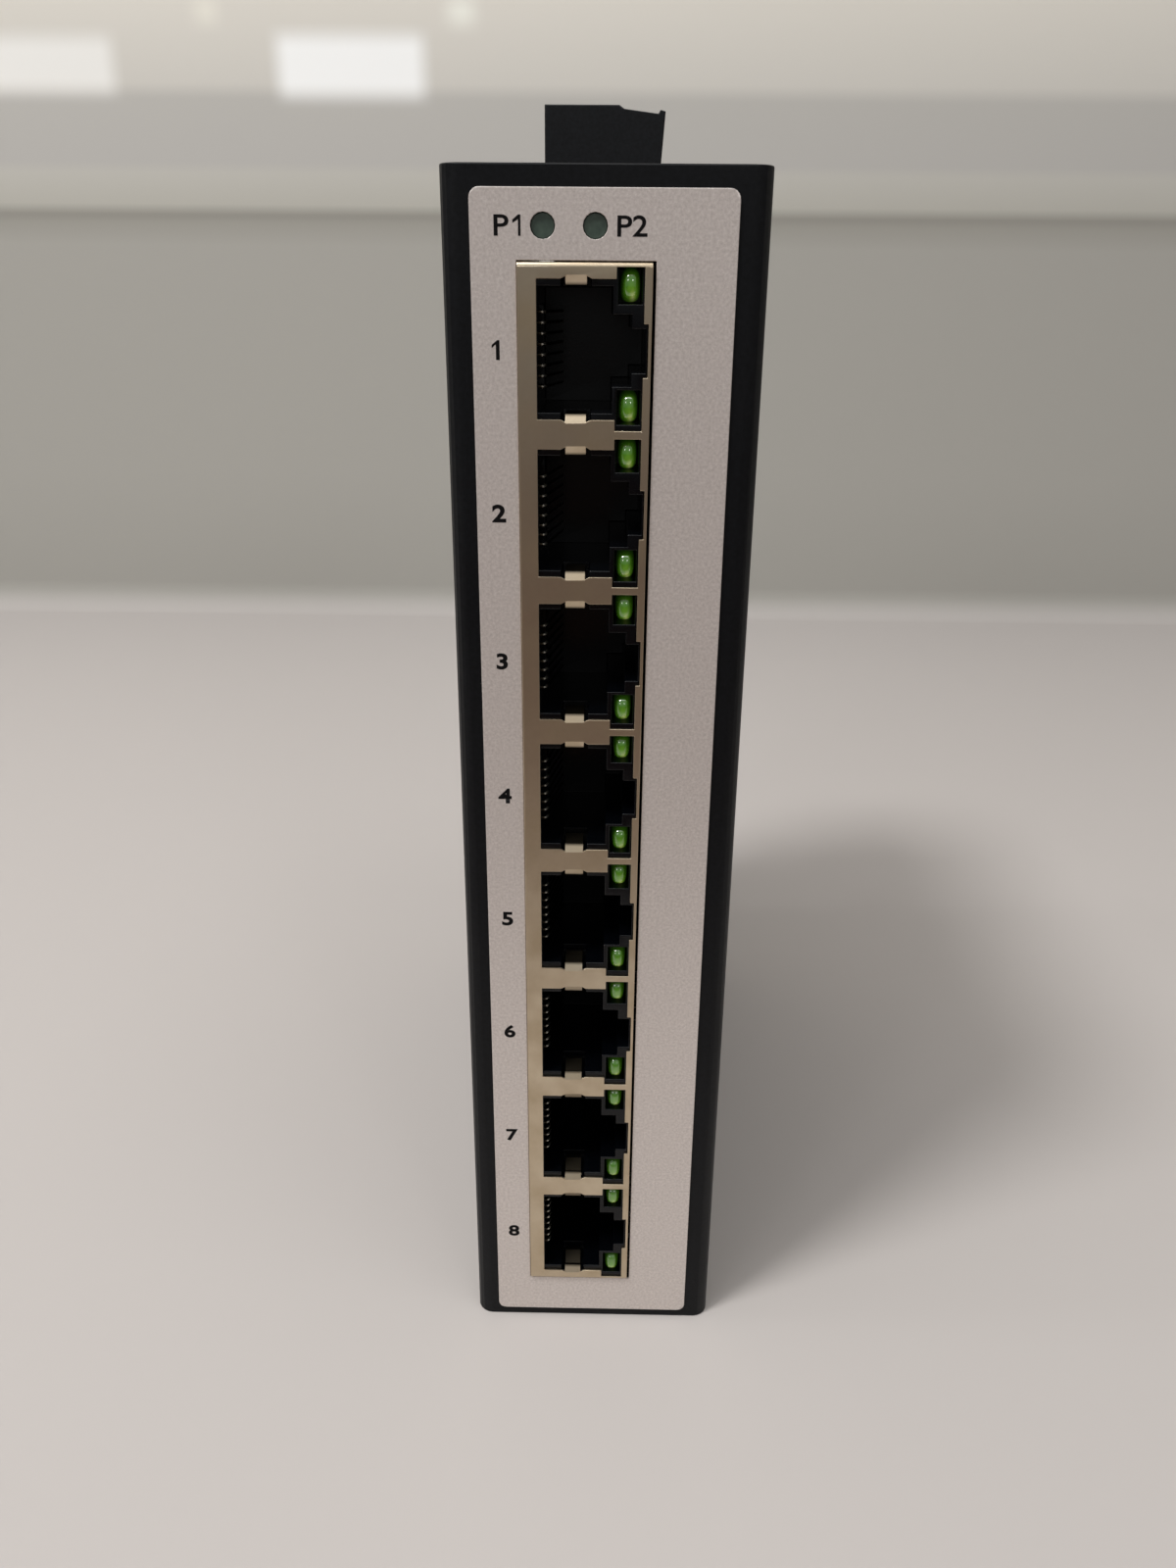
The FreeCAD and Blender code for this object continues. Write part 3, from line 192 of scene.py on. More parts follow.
def nickelPlatedBrass():                          # rolled and plated: soft warm mirror, faint rolling lines
    material, tree, shader, place = newMaterial("nickel_plated_brass_sheet", Metallic=1.0)
    dress(tree, shader, speckle(tree, place, shieldFinish["stain"], detail=5.0),
          [(0.3, shieldFinish["dark"]), (0.52, shieldFinish["mid"]), (0.75, shieldFinish["light"])],
          rough=tones(shieldFinish["darkGloss"], shieldFinish["lightGloss"]))
    lines = speckle(tree, place, shieldFinish["rolling"], stretch=(1, 1, shieldFinish["drawnOut"]))
    addNode(tree, "ShaderNodeBump", inputs={"Distance": shieldFinish["depth"] * mm},
            links={"Height": lines}, into={"Normal": shader.inputs["Normal"]})
    # painted shade: between two depths behind the shield's front face its colour is painted dark, which
    # shades the spring tabs' bowed part behind their lips
    far = shieldFinish["tabShadeTo"][1]
    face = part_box("jack_shield")[0].y
    spot = addNode(tree, "ShaderNodeSeparateXYZ", links={"Vector": place}).outputs
    behind = addNode(tree, "ShaderNodeMapRange", links={"Value": spot["Y"]},
                     inputs={"From Min": face, "From Max": face + far * mm})
    near, end = [[depth / far for depth in shieldFinish[edge]] for edge in ("tabShadeFrom", "tabShadeTo")]
    share = addNode(tree, "ShaderNodeValToRGB", links={"Fac": behind.outputs["Result"]},
                    stops=[(near[0], 0.0), (near[1], 1.0), (end[0], 1.0), (end[1], 0.0)])
    plated = shader.inputs["Base Color"].links[0].from_socket
    addNode(tree, "ShaderNodeMix", data_type="RGBA", inputs={7: hexColour(shieldFinish["tabShade"])},
            links={0: share.outputs["Color"], 6: plated}, into={2: shader.inputs["Base Color"]})
    return material


# dark and light tone, roughness, reflection, grain
mouldingFinishes = {
    "moulded_black_polyester": ("010204", "040508", 0.22, 0.3, 0.3),    # deep black, glossy off its tool
    "moulded_black_nylon": ("0A0B0D", "141518", 0.42, 0.25, 0.35),      # charcoal, satin
    "moulded_black_epoxy": ("141416", "1E1E20", 0.55, 0.4, 0.2),        # warm black, matt from its filler
    "pressed_ferrite": ("2A2A2C", "3A3A3C", 0.6, 0.4, 0.4),             # stone grey, dry
}
mouldedSkin = 0.006                               # depth of the faint skin that a tool leaves


def moulded(name):                                # pressed or moulded in a tool: even colour, faint skin
    dark, light, roughness, reflection, grain = mouldingFinishes[name]
    material, tree, shader, place = newMaterial(
        name, Roughness=roughness, **{"Specular IOR Level": reflection})
    dress(tree, shader, speckle(tree, place, grain, detail=3.0), tones(dark, light), depth=mouldedSkin)
    return material


# dark and light tone, roughness where dark and where light, grain, depth
metalFinishes = {
    "zinc_plated_steel": ("B0B5B8", "C6CACD", 0.37, 0.29, 2.6, 0.004),         # cool grey, cloudy
    "nickel_plated_screw": ("A7A5A0", "CFCDC7", 0.32, 0.2, 0.8, 0.003),        # warm and bright
    "black_oxide_screw": ("141416", "232427", 0.45, 0.3, 0.6, 0.004),          # near black, oily sheen
    "tinned_brass": ("AFAFAC", "D3D3D0", 0.4, 0.25, 0.6, 0.003),               # pale, slightly frosted
    "spring_steel": ("7C7C7E", "A9A9AA", 0.35, 0.22, 0.5, 0.002),              # drawn wire, grey sheen
    "black_anodised_aluminium": ("17181A", "26272A", 0.5, 0.38, 0.4, 0.004),   # dark, softly matt
    "drawn_crystal_can": ("B2B1AD", "D0CFCB", 0.3, 0.18, 1.2, 0.002),          # smooth bright sheet
    "capacitor_sleeve": ("8C9094", "C2C5C8", 0.35, 0.22, 1.2, 0.002),          # lacquered, grey-blue
}


def metal(name):                                  # plated or coated: reflects fully, mottled by its finish
    dark, light, darkRough, lightRough, grain, depth = metalFinishes[name]
    material, tree, shader, place = newMaterial(name, Metallic=1.0)
    dress(tree, shader, speckle(tree, place, grain, detail=4.0), tones(dark, light),
          rough=tones(darkRough, lightRough), depth=depth)
    return material


# the pale crest fades into painted shade between these X values and these Y values: only each wire's crest
# keeps its pale gold
contactFinish = {"plated": "F2ECDC", "wireShade": "2A251D", "above": (-6.35, -6.15), "behind": (-47.2, -47.8)}


def goldFlashedWire():                            # bronze wire, flashed with gold where a plug touches it, and painted dark as shade everywhere else
    material, tree, shader, place = newMaterial("gold_flashed_bronze_wire", Metallic=1.0, Roughness=0.3)
    spot = addNode(tree, "ShaderNodeSeparateXYZ", links={"Vector": place}).outputs
    share = addNode(tree, "ShaderNodeMath", operation="MULTIPLY")
    for at, (axis, limits) in enumerate((("X", "above"), ("Y", "behind"))):
        low, high = [limit * mm for limit in contactFinish[limits]]
        addNode(tree, "ShaderNodeMapRange", inputs={"From Min": low, "From Max": high},
                links={"Value": spot[axis]}, into={"Result": share.inputs[at]})
    # painted shade: outside the crest the wire takes the dark shade tone
    dress(tree, shader, share.outputs["Value"],
          tones(contactFinish["wireShade"], contactFinish["plated"], ends=(0.0, 1.0)))
    return material


# foot: where the painted glow is brightest, in shares of the lens' size, and spread: how soon the tones turn
# to painted shade round it
lensFinish = {"foot": (0.1, 0.0, -0.36), "spread": (1.3, 0.0, 0.9), "paintedGlow": 0.22,
              "tones": [(0.0, "BCCC80"), (0.1, "98B850"), (0.24, "5E8E24"), (0.45, "3F6E14"),
                        (0.7, "2C500E"), (0.95, "182F09")]}


def greenEpoxyLens():                             # clear green epoxy: painted bright at its foot and painted dark to its sides
    material, tree, shader, place = newMaterial(
        "green_epoxy_lens", Roughness=0.1, IOR=1.52, **{"Emission Strength": lensFinish["paintedGlow"]},
        **{"Coat Weight": 1.0, "Coat Roughness": 0.04, "Coat IOR": 1.8})
    inLens = addNode(tree, "ShaderNodeAttribute", attribute_name="lensPlace").outputs["Vector"]
    apart = addNode(tree, "ShaderNodeVectorMath", operation="SUBTRACT", links={0: inLens},
                    inputs={1: lensFinish["foot"]}).outputs["Vector"]
    spread = addNode(tree, "ShaderNodeVectorMath", operation="MULTIPLY", inputs={1: lensFinish["spread"]},
                     links={0: apart}).outputs["Vector"]
    far = addNode(tree, "ShaderNodeVectorMath", operation="LENGTH", links={0: spread}).outputs["Value"]
    # painted light: the same tones feed the emission, so the unlit lens glows a little by itself
    for socket in ("Base Color", "Emission Color"):
        addNode(tree, "ShaderNodeValToRGB", links={"Fac": far}, stops=lensFinish["tones"],
                into={"Color": shader.inputs[socket]})
    return material


dullLensFinish = {"dark": "34423A", "light": "48574C", "grain": 0.8, "coat": 0.3}


def smokedLens():                                 # unlit lamp behind its hole: dull grey-green, waxy
    material, tree, shader, place = newMaterial(
        "grey_green_epoxy_lens", Roughness=0.35, **{"Coat Weight": dullLensFinish["coat"]})
    dress(tree, shader, speckle(tree, place, dullLensFinish["grain"], detail=3.0),
          tones(dullLensFinish["dark"], dullLensFinish["light"]))
    return material


boardFinish = {"dark": "0E3A1E", "light": "14492A", "weave": 1.2, "depth": 0.01}


def glassEpoxyBoard():                            # green solder mask over glass epoxy, with a faint weave
    material, tree, shader, place = newMaterial("glass_epoxy_laminate", Roughness=0.35)
    weave = addNode(tree, "ShaderNodeTexWave", bands_direction="Z", links={"Vector": place},
                    inputs={"Scale": 1 / (boardFinish["weave"] * mm), "Distortion": 0.4}).outputs["Fac"]
    dress(tree, shader, weave, tones(boardFinish["dark"], boardFinish["light"], ends=(0.2, 0.8)),
          depth=boardFinish["depth"])
    return material


inkFinish = {"dark": "080708", "light": "131213", "grain": 0.15, "reflection": 0.1}


def printingInk():                                # black screen print: flat, hardly any gloss
    material, tree, shader, place = newMaterial(
        "black_screen_ink", Roughness=0.6, **{"Specular IOR Level": inkFinish["reflection"]})
    dress(tree, shader, speckle(tree, place, inkFinish["grain"]),
          tones(inkFinish["dark"], inkFinish["light"], ends=(0.35, 0.7)))
    return material


finishes = {
    "case": powderCoatedSteel(),
    "label": printedPolyester(),
    "shield": nickelPlatedBrass(),
    **{name: moulded(name) for name in mouldingFinishes},
    "board": glassEpoxyBoard(),
    "lens": greenEpoxyLens(),
    "dullLens": smokedLens(),
    "contact": goldFlashedWire(),
    "ink": printingInk(),
    **{name: metal(name) for name in metalFinishes},
}


def paint(shape, finish):
    shape.data.materials.clear()
    shape.data.materials.append(finishes[finish])


nodeFinishes = {
    "case": ["front_shell", "rear_chassis"],
    "label": ["front_label"],
    "shield": ["jack_shield"],
    "moulded_black_polyester": ["lamp_block", "terminal_header"],
    "moulded_black_nylon": ["plug_body"],
    "moulded_black_epoxy": ["switch_chip", "regulator"],
    "pressed_ferrite": ["power_inductor"],
    "board": ["main_board"],
    "dullLens": ["power_lamp_1", "power_lamp_2"],
    "black_oxide_screw": ["side_screws"],
    "nickel_plated_screw": ["ground_screw", "ground_washer", "board_screws", "bracket_screws",
                            "plug_screws"],
    "black_anodised_aluminium": ["chip_heatsink"],
    "drawn_crystal_can": ["crystal", "board_standoffs"],
    "capacitor_sleeve": ["input_capacitor", "output_capacitor"],
    "tinned_brass": ["header_pins", "plug_contacts", "wire_clamps"],
    "zinc_plated_steel": ["rail_bracket", "rail_latch", "latch_rivets"],
    "spring_steel": ["latch_spring"],
}
portNodes = {kind: [f"{kind}_{port}" for port in range(1, portCount + 1)]
             for kind in ("jack_housing", "jack_contacts", "port_lamps")}
nodeFinishes["moulded_black_polyester"] += portNodes["jack_housing"]
nodeFinishes["contact"] = portNodes["jack_contacts"]
nodeFinishes["lens"] = portNodes["port_lamps"]
nodeFinishes["moulded_black_epoxy"] += [name for name in nodes if name.startswith("magnetics_")]
for finish, names in nodeFinishes.items():
    for name in names:
        paint(nodes[name], finish)
print("finishes made:", len(finishes))


# from the nodes' shapes to meshes of their own
touching = 0.001                                  # mm between corners that are one


def evaluatedMesh(shape, name):                   # the modifiers' result as a plain mesh
    bpy.context.view_layer.update()
    done = bpy.data.meshes.new_from_object(shape.evaluated_get(bpy.context.evaluated_depsgraph_get()))
    done.name = name
    return done


def welded(members):                              # nodes' triangles as one mesh, shared corners merged
    mesh = bmesh.new()
    for member in members:
        mesh.from_mesh(nodes[member].data)
    bmesh.ops.remove_doubles(mesh, verts=mesh.verts, dist=touching * mm)
    return mesh


def islands(node):                                # low and high corner of each of a node's solids
    loose = welded([node])
    seen, found = set(), []
    for seed in loose.verts:
        if seed in seen:
            continue
        seen.add(seed)
        group = [seed]
        for vert in group:                        # grows while it is read, from neighbour to neighbour
            for edge in vert.link_edges:
                other = edge.other_vert(vert)
                if other not in seen:
                    seen.add(other)
                    group.append(other)
        low, high = [Vector([pick(v.co[i] for v in group) for i in range(3)]) for pick in (min, max)]
        found.append((low, high))
    loose.free()
    return found


# degrees between faces that lie flat, that shade as one, and from which an edge is rounded off
easing = {"flat": 0.5, "shadesAsOne": 28, "rounded": 35, "segments": 2, "levelWeight": 100}


def easedCopy(name, members, edge, finish, flatten):
    # the CAD shape with its sharp edges rounded off by `edge` mm, as a mould or a folded sheet leaves them
    solid = welded(members)
    if flatten:                                   # not where one face goes round many windows
        bmesh.ops.dissolve_limit(solid, angle_limit=math.radians(easing["flat"]), verts=solid.verts,
                                 edges=solid.edges)
    mesh = bpy.data.meshes.new(name)
    solid.to_mesh(mesh)
    solid.free()
    shape = linked(name, mesh)
    for face in mesh.polygons:
        face.use_smooth = True
    mesh.set_sharp_from_angle(angle=math.radians(easing["shadesAsOne"]))
    bevel = shape.modifiers.new("eased_edges", "BEVEL")
    bevel.width = edge * mm
    bevel.segments = easing["segments"]
    bevel.limit_method = "ANGLE"
    bevel.angle_limit = math.radians(easing["rounded"])
    bevel.use_clamp_overlap = False
    bevel.harden_normals = True
    level = shape.modifiers.new("level_faces", "WEIGHTED_NORMAL")   # flat faces stay flat up to their edges
    level.keep_sharp = True
    level.weight = easing["levelWeight"]
    done = evaluatedMesh(shape, name)
    boxes = [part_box(member) for member in members]
    low = [min(box[0][i] for box in boxes) for i in range(3)]
    high = [max(box[1][i] for box in boxes) for i in range(3)]
    for vert in done.vertices:                    # rounded corners stay inside the CAD shape's box
        for i in range(3):
            vert.co[i] = min(max(vert.co[i], low[i]), high[i])
    shape.modifiers.clear()
    shape.data = done
    paint(shape, finish)
    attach(shape, nodes[members[0]]["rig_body"])
    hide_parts(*members)
    return shape


# nodes, rounding in mm, finish, slot, and whether flat faces are joined first
eased = {
    "caseShell": (["front_shell"], 0.15, "case", "case_coat", False),
    "caseChassis": (["rear_chassis"], 0.15, "case", "case_coat", False),
    "frontLabel": (["front_label"], 0.06, "label", "label_film", False),
    "jackShield": (["jack_shield"], 0.07, "shield", "nickel_shield", False),
    "jackMouldings": (portNodes["jack_housing"], 0.12, "moulded_black_polyester", "black_nylon", False),
    "plugBody": (["plug_body"], 0.15, "moulded_black_nylon", "plug_nylon", True),
    "railBracket": (["rail_bracket"], 0.2, "zinc_plated_steel", "zinc_steel", True),
    "railLatch": (["rail_latch"], 0.2, "zinc_plated_steel", "zinc_steel", True),
}
for name, (members, edge, finish, slot, flatten) in eased.items():
    shape = easedCopy(name, members, edge, finish, flatten)
    print("eased", name, len(shape.data.polygons))


# geometry nodes: what repeats or follows a rule
def newTree(name, sizes, takesPoints=False):      # an input for each size, whole numbers for counts
    tree = bpy.data.node_groups.new(name, "GeometryNodeTree")
    tree.interface.new_socket("Geometry", in_out="OUTPUT", socket_type="NodeSocketGeometry")
    if takesPoints:
        tree.interface.new_socket("Geometry", in_out="INPUT", socket_type="NodeSocketGeometry")
    for size, value in sizes.items():
        kind = {int: "NodeSocketInt", tuple: "NodeSocketVector"}.get(type(value), "NodeSocketFloat")
        tree.interface.new_socket(size, in_out="INPUT", socket_type=kind)
    return tree, tree.nodes.new("NodeGroupInput").outputs


def closeTree(tree, geometry, finish):
    real = addNode(tree, "GeometryNodeRealizeInstances", links={"Geometry": geometry}).outputs["Geometry"]
    done = addNode(tree, "GeometryNodeSetMaterial", inputs={"Material": finishes[finish]},
                   links={"Geometry": real})
    addNode(tree, "NodeGroupOutput", links={"Geometry": done.outputs["Geometry"]})


def grown(name, tree, sizes, body, replaced, start=None):
    shape = linked(name, start or bpy.data.meshes.new(name))
    modifier = shape.modifiers.new(tree.name, "NODES")
    modifier.node_group = tree
    for item in tree.interface.items_tree:
        if item.in_out == "INPUT" and item.name in sizes:
            value = sizes[item.name]
            if isinstance(value, tuple):
                value = [part * mm for part in value]
            modifier[item.identifier] = value * mm if isinstance(value, float) else value
    done = evaluatedMesh(shape, name)
    shape.modifiers.clear()
    shape.data = done
    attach(shape, body)
    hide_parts(*replaced)
    print("grown", name, len(done.polygons))
    return shape


def row(tree, count, first, step, instance):      # copies of a piece along a line
    points = addNode(tree, "GeometryNodeMeshLine",
                     links={"Count": count, "Start Location": first, "Offset": step})
    return addNode(tree, "GeometryNodeInstanceOnPoints",
                   links={"Points": points.outputs["Mesh"], "Instance": instance}).outputs["Instances"]


# contact wires: each comes forward along its port, folds over behind the mouth and slants back
wires = {"wireRadius": 0.16, "bend": 0.5, "wires": 8, "ports": portCount, "crestRise": 1.3, "reach": 8.4,
         "firstWire": (0.0, 0.0, -3.556), "wireStep": (0.0, 0.0, 1.016), "wireSides": 8, "bendPoints": 5}


def portRow():                                    # lowest port's centre, and the step to the next one up
    centres = [sum(corner.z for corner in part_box(node)) / 2 / mm for node in portNodes["jack_housing"]]
    return (0.0, 0.0, centres[-1]), (0.0, 0.0, (centres[0] - centres[-1]) / (portCount - 1))


def contactWires():
    low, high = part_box("jack_contacts_1")
    ease = wires["wireRadius"]
    left, right, near, far = low.x / mm + ease, high.x / mm - ease, low.y / mm + ease, high.y / mm - ease
    crest = left + wires["crestRise"]
    firstPort, portStep = portRow()
    corners = {"rear": (left, far, 0.0), "foot": (left, near, 0.0), "crest": (crest, near, 0.0),
               "free": (right, near + wires["reach"], 0.0)}
    ownSizes = ("wireRadius", "bend", "wires", "ports", "firstWire", "wireStep")
    sizes = {name: wires[name] for name in ownSizes}
    sizes.update(corners, firstPort=firstPort, portStep=portStep)
    tree, given = newTree("contact_wires", sizes)
    place = addNode(tree, "GeometryNodeIndexSwitch", data_type="VECTOR")
    while len(place.index_switch_items) < len(corners):
        place.index_switch_items.new()
    tree.links.new(addNode(tree, "GeometryNodeInputIndex").outputs["Index"], place.inputs["Index"])
    for at, corner in enumerate(corners):
        tree.links.new(given[corner], place.inputs[str(at)])
    line = addNode(tree, "GeometryNodeMeshLine", inputs={"Count": len(corners)})
    bent = addNode(tree, "GeometryNodeSetPosition",
                   links={"Geometry": line.outputs["Mesh"], "Position": place.outputs["Output"]})
    curve = addNode(tree, "GeometryNodeMeshToCurve", links={"Mesh": bent.outputs["Geometry"]})
    fillet = addNode(tree, "GeometryNodeFilletCurve", mode="POLY",
                     inputs={"Count": wires["bendPoints"], "Limit Radius": True},
                     links={"Curve": curve.outputs["Curve"], "Radius": given["bend"]})
    section = addNode(tree, "GeometryNodeCurvePrimitiveCircle", inputs={"Resolution": wires["wireSides"]},
                      links={"Radius": given["wireRadius"]})
    wire = addNode(tree, "GeometryNodeCurveToMesh", inputs={"Fill Caps": True},
                   links={"Curve": fillet.outputs["Curve"], "Profile Curve": section.outputs["Curve"]})
    comb = row(tree, given["wires"], given["firstWire"], given["wireStep"], wire.outputs["Mesh"])
    ports = row(tree, given["ports"], given["firstPort"], given["portStep"], comb)
    closeTree(tree, ports, "contact")
    grown("contactWires", tree, sizes, "switch", portNodes["jack_contacts"])


contactWires()

# port lamps: cast lenses with a rounded face, whose size makes up for what the rounding takes off
lenses = {"lensSize": (2.06, 6.3, 3.3), "crease": 0.25, "fineness": 4, "ports": portCount,
          "forward": 0.42, "up": 0.08}


def portLenses():
    middles = [(low + high) / 2 / mm for low, high in islands("port_lamps_1")]
    lower, upper = sorted(middles, key=lambda middle: middle.z)
    firstPort, portStep = portRow()
    below = lower.z - firstPort[2] - (portCount - 1) * portStep[2]
    sizes = {
        "lensSize": lenses["lensSize"], "fineness": lenses["fineness"], "ports": lenses["ports"],
        "firstPort": firstPort, "portStep": portStep, "lenses": len(middles),
        "lower": (lower.x, lower.y - lenses["forward"], below),
        "rise": (0.0, 0.0, upper.z - lower.z + lenses["up"]),
    }
    tree, given = newTree("port_lenses", sizes)
    box = addNode(tree, "GeometryNodeMeshCube", links={"Size": given["lensSize"]})
    domed = addNode(tree, "GeometryNodeSubdivisionSurface", inputs={"Edge Crease": lenses["crease"]},
                    links={"Mesh": box.outputs["Mesh"], "Level": given["fineness"]})
    share = addNode(tree, "ShaderNodeVectorMath", operation="DIVIDE", links={
        0: addNode(tree, "GeometryNodeInputPosition").outputs["Position"], 1: given["lensSize"]})
    marked = addNode(tree, "GeometryNodeStoreNamedAttribute", inputs={"Name": "lensPlace"}, links={
        "Geometry": domed.outputs["Mesh"], "Value": share.outputs["Vector"]}, data_type="FLOAT_VECTOR")
    smooth = addNode(tree, "GeometryNodeSetShadeSmooth", links={"Geometry": marked.outputs["Geometry"]})
    pair = row(tree, given["lenses"], given["lower"], given["rise"], smooth.outputs["Geometry"])
    closeTree(tree, row(tree, given["ports"], given["firstPort"], given["portStep"], pair), "lens")
    grown("portLenses", tree, sizes, "switch", portNodes["port_lamps"])


portLenses()

# screws: a head of two turned bands on a shank, with a cross cut into it
screwHeads = {                                    # rim, crown, under and shank are radii
    "flat": {"rim": 2.7, "crown": 2.66, "under": 1.5, "underHeight": 1.2, "crownHeight": 0.05, "shank": 1.5,
             "length": 4.0, "span": 3.1, "slot": 0.62, "sink": 0.9},
    "pan": {"rim": 3.6, "crown": 2.7, "under": 3.6, "underHeight": 1.6, "crownHeight": 1.0, "shank": 2.0,
            "length": 7.0, "span": 4.2, "slot": 0.8, "sink": 1.4},
}
turnedSides = 40


def turnedBand(tree, bottom, top, height, lift):  # a band of a turned part, from one radius to another
    cone = addNode(tree, "GeometryNodeMeshCone", inputs={"Vertices": turnedSides},
                   links={"Radius Top": top, "Radius Bottom": bottom, "Depth": height})
    shift = addNode(tree, "ShaderNodeCombineXYZ", links={"Z": lift})
    return addNode(tree, "GeometryNodeTransform", links={
        "Geometry": cone.outputs["Mesh"], "Translation": shift.outputs["Vector"]}).outputs["Geometry"]


def screwTree(finish):
    tree, given = newTree(finish, screwHeads["flat"], takesPoints=True)
    # the head's face is at 0 and the shank points down
    crownLow = addNode(tree, "ShaderNodeMath", operation="MULTIPLY", inputs={1: -1.0},
                       links={0: given["crownHeight"]}).outputs["Value"]
    underLow = addNode(tree, "ShaderNodeMath", operation="SUBTRACT",
                       links={0: crownLow, 1: given["underHeight"]}).outputs["Value"]
    shankLow = addNode(tree, "ShaderNodeMath", operation="SUBTRACT",
                       links={0: underLow, 1: given["length"]}).outputs["Value"]
    crown = turnedBand(tree, given["rim"], given["crown"], given["crownHeight"], crownLow)
    under = turnedBand(tree, given["under"], given["rim"], given["underHeight"], underLow)
    shank = turnedBand(tree, given["shank"], given["shank"], given["length"], shankLow)
    solid = addNode(tree, "GeometryNodeMeshBoolean", operation="UNION", solver="EXACT")
    for part in (crown, under, shank):
        tree.links.new(part, solid.inputs["Mesh 2"])
    cross = addNode(tree, "GeometryNodeMeshBoolean", operation="DIFFERENCE", solver="EXACT",
                    links={"Mesh 1": solid.outputs["Mesh"]})
    deep = addNode(tree, "ShaderNodeMath", operation="MULTIPLY", inputs={1: 2.0}, links={0: given["sink"]})
    for across, along in (("span", "slot"), ("slot", "span")):
        box = addNode(tree, "ShaderNodeCombineXYZ",
                      links={"X": given[across], "Y": given[along], "Z": deep.outputs["Value"]})
        arm = addNode(tree, "GeometryNodeMeshCube", links={"Size": box.outputs["Vector"]})
        tree.links.new(arm.outputs["Mesh"], cross.inputs["Mesh 2"])
    outward = addNode(tree, "GeometryNodeInputNamedAttribute", data_type="FLOAT_VECTOR",
                      inputs={"Name": "outward"})
    turned = addNode(tree, "FunctionNodeAlignRotationToVector", axis="Z",
                     links={"Vector": outward.outputs["Attribute"]})
    spread = addNode(tree, "GeometryNodeInstanceOnPoints",
                     links={"Points": given["Geometry"], "Instance": cross.outputs["Mesh"],
                            "Rotation": turned.outputs["Rotation"]})
    closeTree(tree, spread.outputs["Instances"], finish)
    return tree


def screwsOn(name, node, tree, head, outwards, body):   # a screw for each solid of the node
    mesh = bpy.data.meshes.new(name)
    places, axes = [], []
    for low, high in islands(node):
        middle = (low + high) / 2
        axis = Vector(outwards(middle))
        places.append(middle + axis * (high - low) / 2)
        axes.append(axis)
    mesh.from_pydata(places, [], [])
    attribute = mesh.attributes.new("outward", "FLOAT_VECTOR", "POINT")
    for spot, axis in zip(attribute.data, axes):
        spot.vector = axis
    return grown(name, tree, screwHeads[head], body, [node], start=mesh)


blackScrew, nickelScrew = screwTree("black_oxide_screw"), screwTree("nickel_plated_screw")
screwsOn("sideScrews", "side_screws", blackScrew, "flat", lambda at: (math.copysign(1, at.x), 0, 0),
         "switch")
screwsOn("bracketScrews", "bracket_screws", nickelScrew, "flat", lambda at: (0, 1, 0),
         "switch")
screwsOn("groundScrew", "ground_screw", nickelScrew, "pan", lambda at: (0, 0, 1),
         "switch")

# spring behind the rail latch: `travel` is how far the latch slides
spring = {"coils": 6.0, "coilRadius": 1.6, "wireRadius": 0.3, "steps": 40, "wireSides": 10, "travel": 4.0}


def latchSpring():
    low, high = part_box("latch_spring")
    wire = spring["wireRadius"]
    rise = (high.z - low.z) / mm - 2 * wire
    start = tuple(part / mm for part in ((low.x + high.x) / 2, (low.y + high.y) / 2, low.z + wire * mm))
    sizes = {"coilRadius": spring["coilRadius"], "wireRadius": wire, "rise": rise, "start": start,
             "steps": spring["steps"]}
    tree, given = newTree("compression_spring", sizes)
    coil = addNode(tree, "GeometryNodeCurveSpiral", inputs={"Rotations": spring["coils"]},
                   links={"Resolution": given["steps"], "Start Radius": given["coilRadius"],
                          "End Radius": given["coilRadius"], "Height": given["rise"]})
    section = addNode(tree, "GeometryNodeCurvePrimitiveCircle", inputs={"Resolution": spring["wireSides"]},
                      links={"Radius": given["wireRadius"]})
    wound = addNode(tree, "GeometryNodeCurveToMesh", inputs={"Fill Caps": True},
                    links={"Curve": coil.outputs["Curve"], "Profile Curve": section.outputs["Curve"]})
    placed = addNode(tree, "GeometryNodeTransform",
                     links={"Geometry": wound.outputs["Mesh"], "Translation": given["start"]})
    closeTree(tree, placed.outputs["Geometry"], "spring_steel")
    shape = grown("latchSpring", tree, sizes, "switch", ["latch_spring"])
    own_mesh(shape)


latchSpring()


# print on the label, mm
printed = {"capHeight": 1.85, "widen": 1.2, "lift": 0.012, "numberX": -10.75, "markZ": 138.3,
           "lampWeight": 0.012, "lampStem": 0.13, "numberWeight": 0.034, "numberStem": 0.2,
           "lampMarks": (("P", -9.99), ("1", -8.52), ("P2", 2.55)), "curvePoints": 6}
# the figure 1 in shares of its height: right side, flag's shoulder and tip, and heights where the flag ends
figureOne = {"right": 0.46, "shoulder": 0.34, "tip": 0.04, "tipTop": 0.76, "tipLow": 0.6, "joins": 0.78}


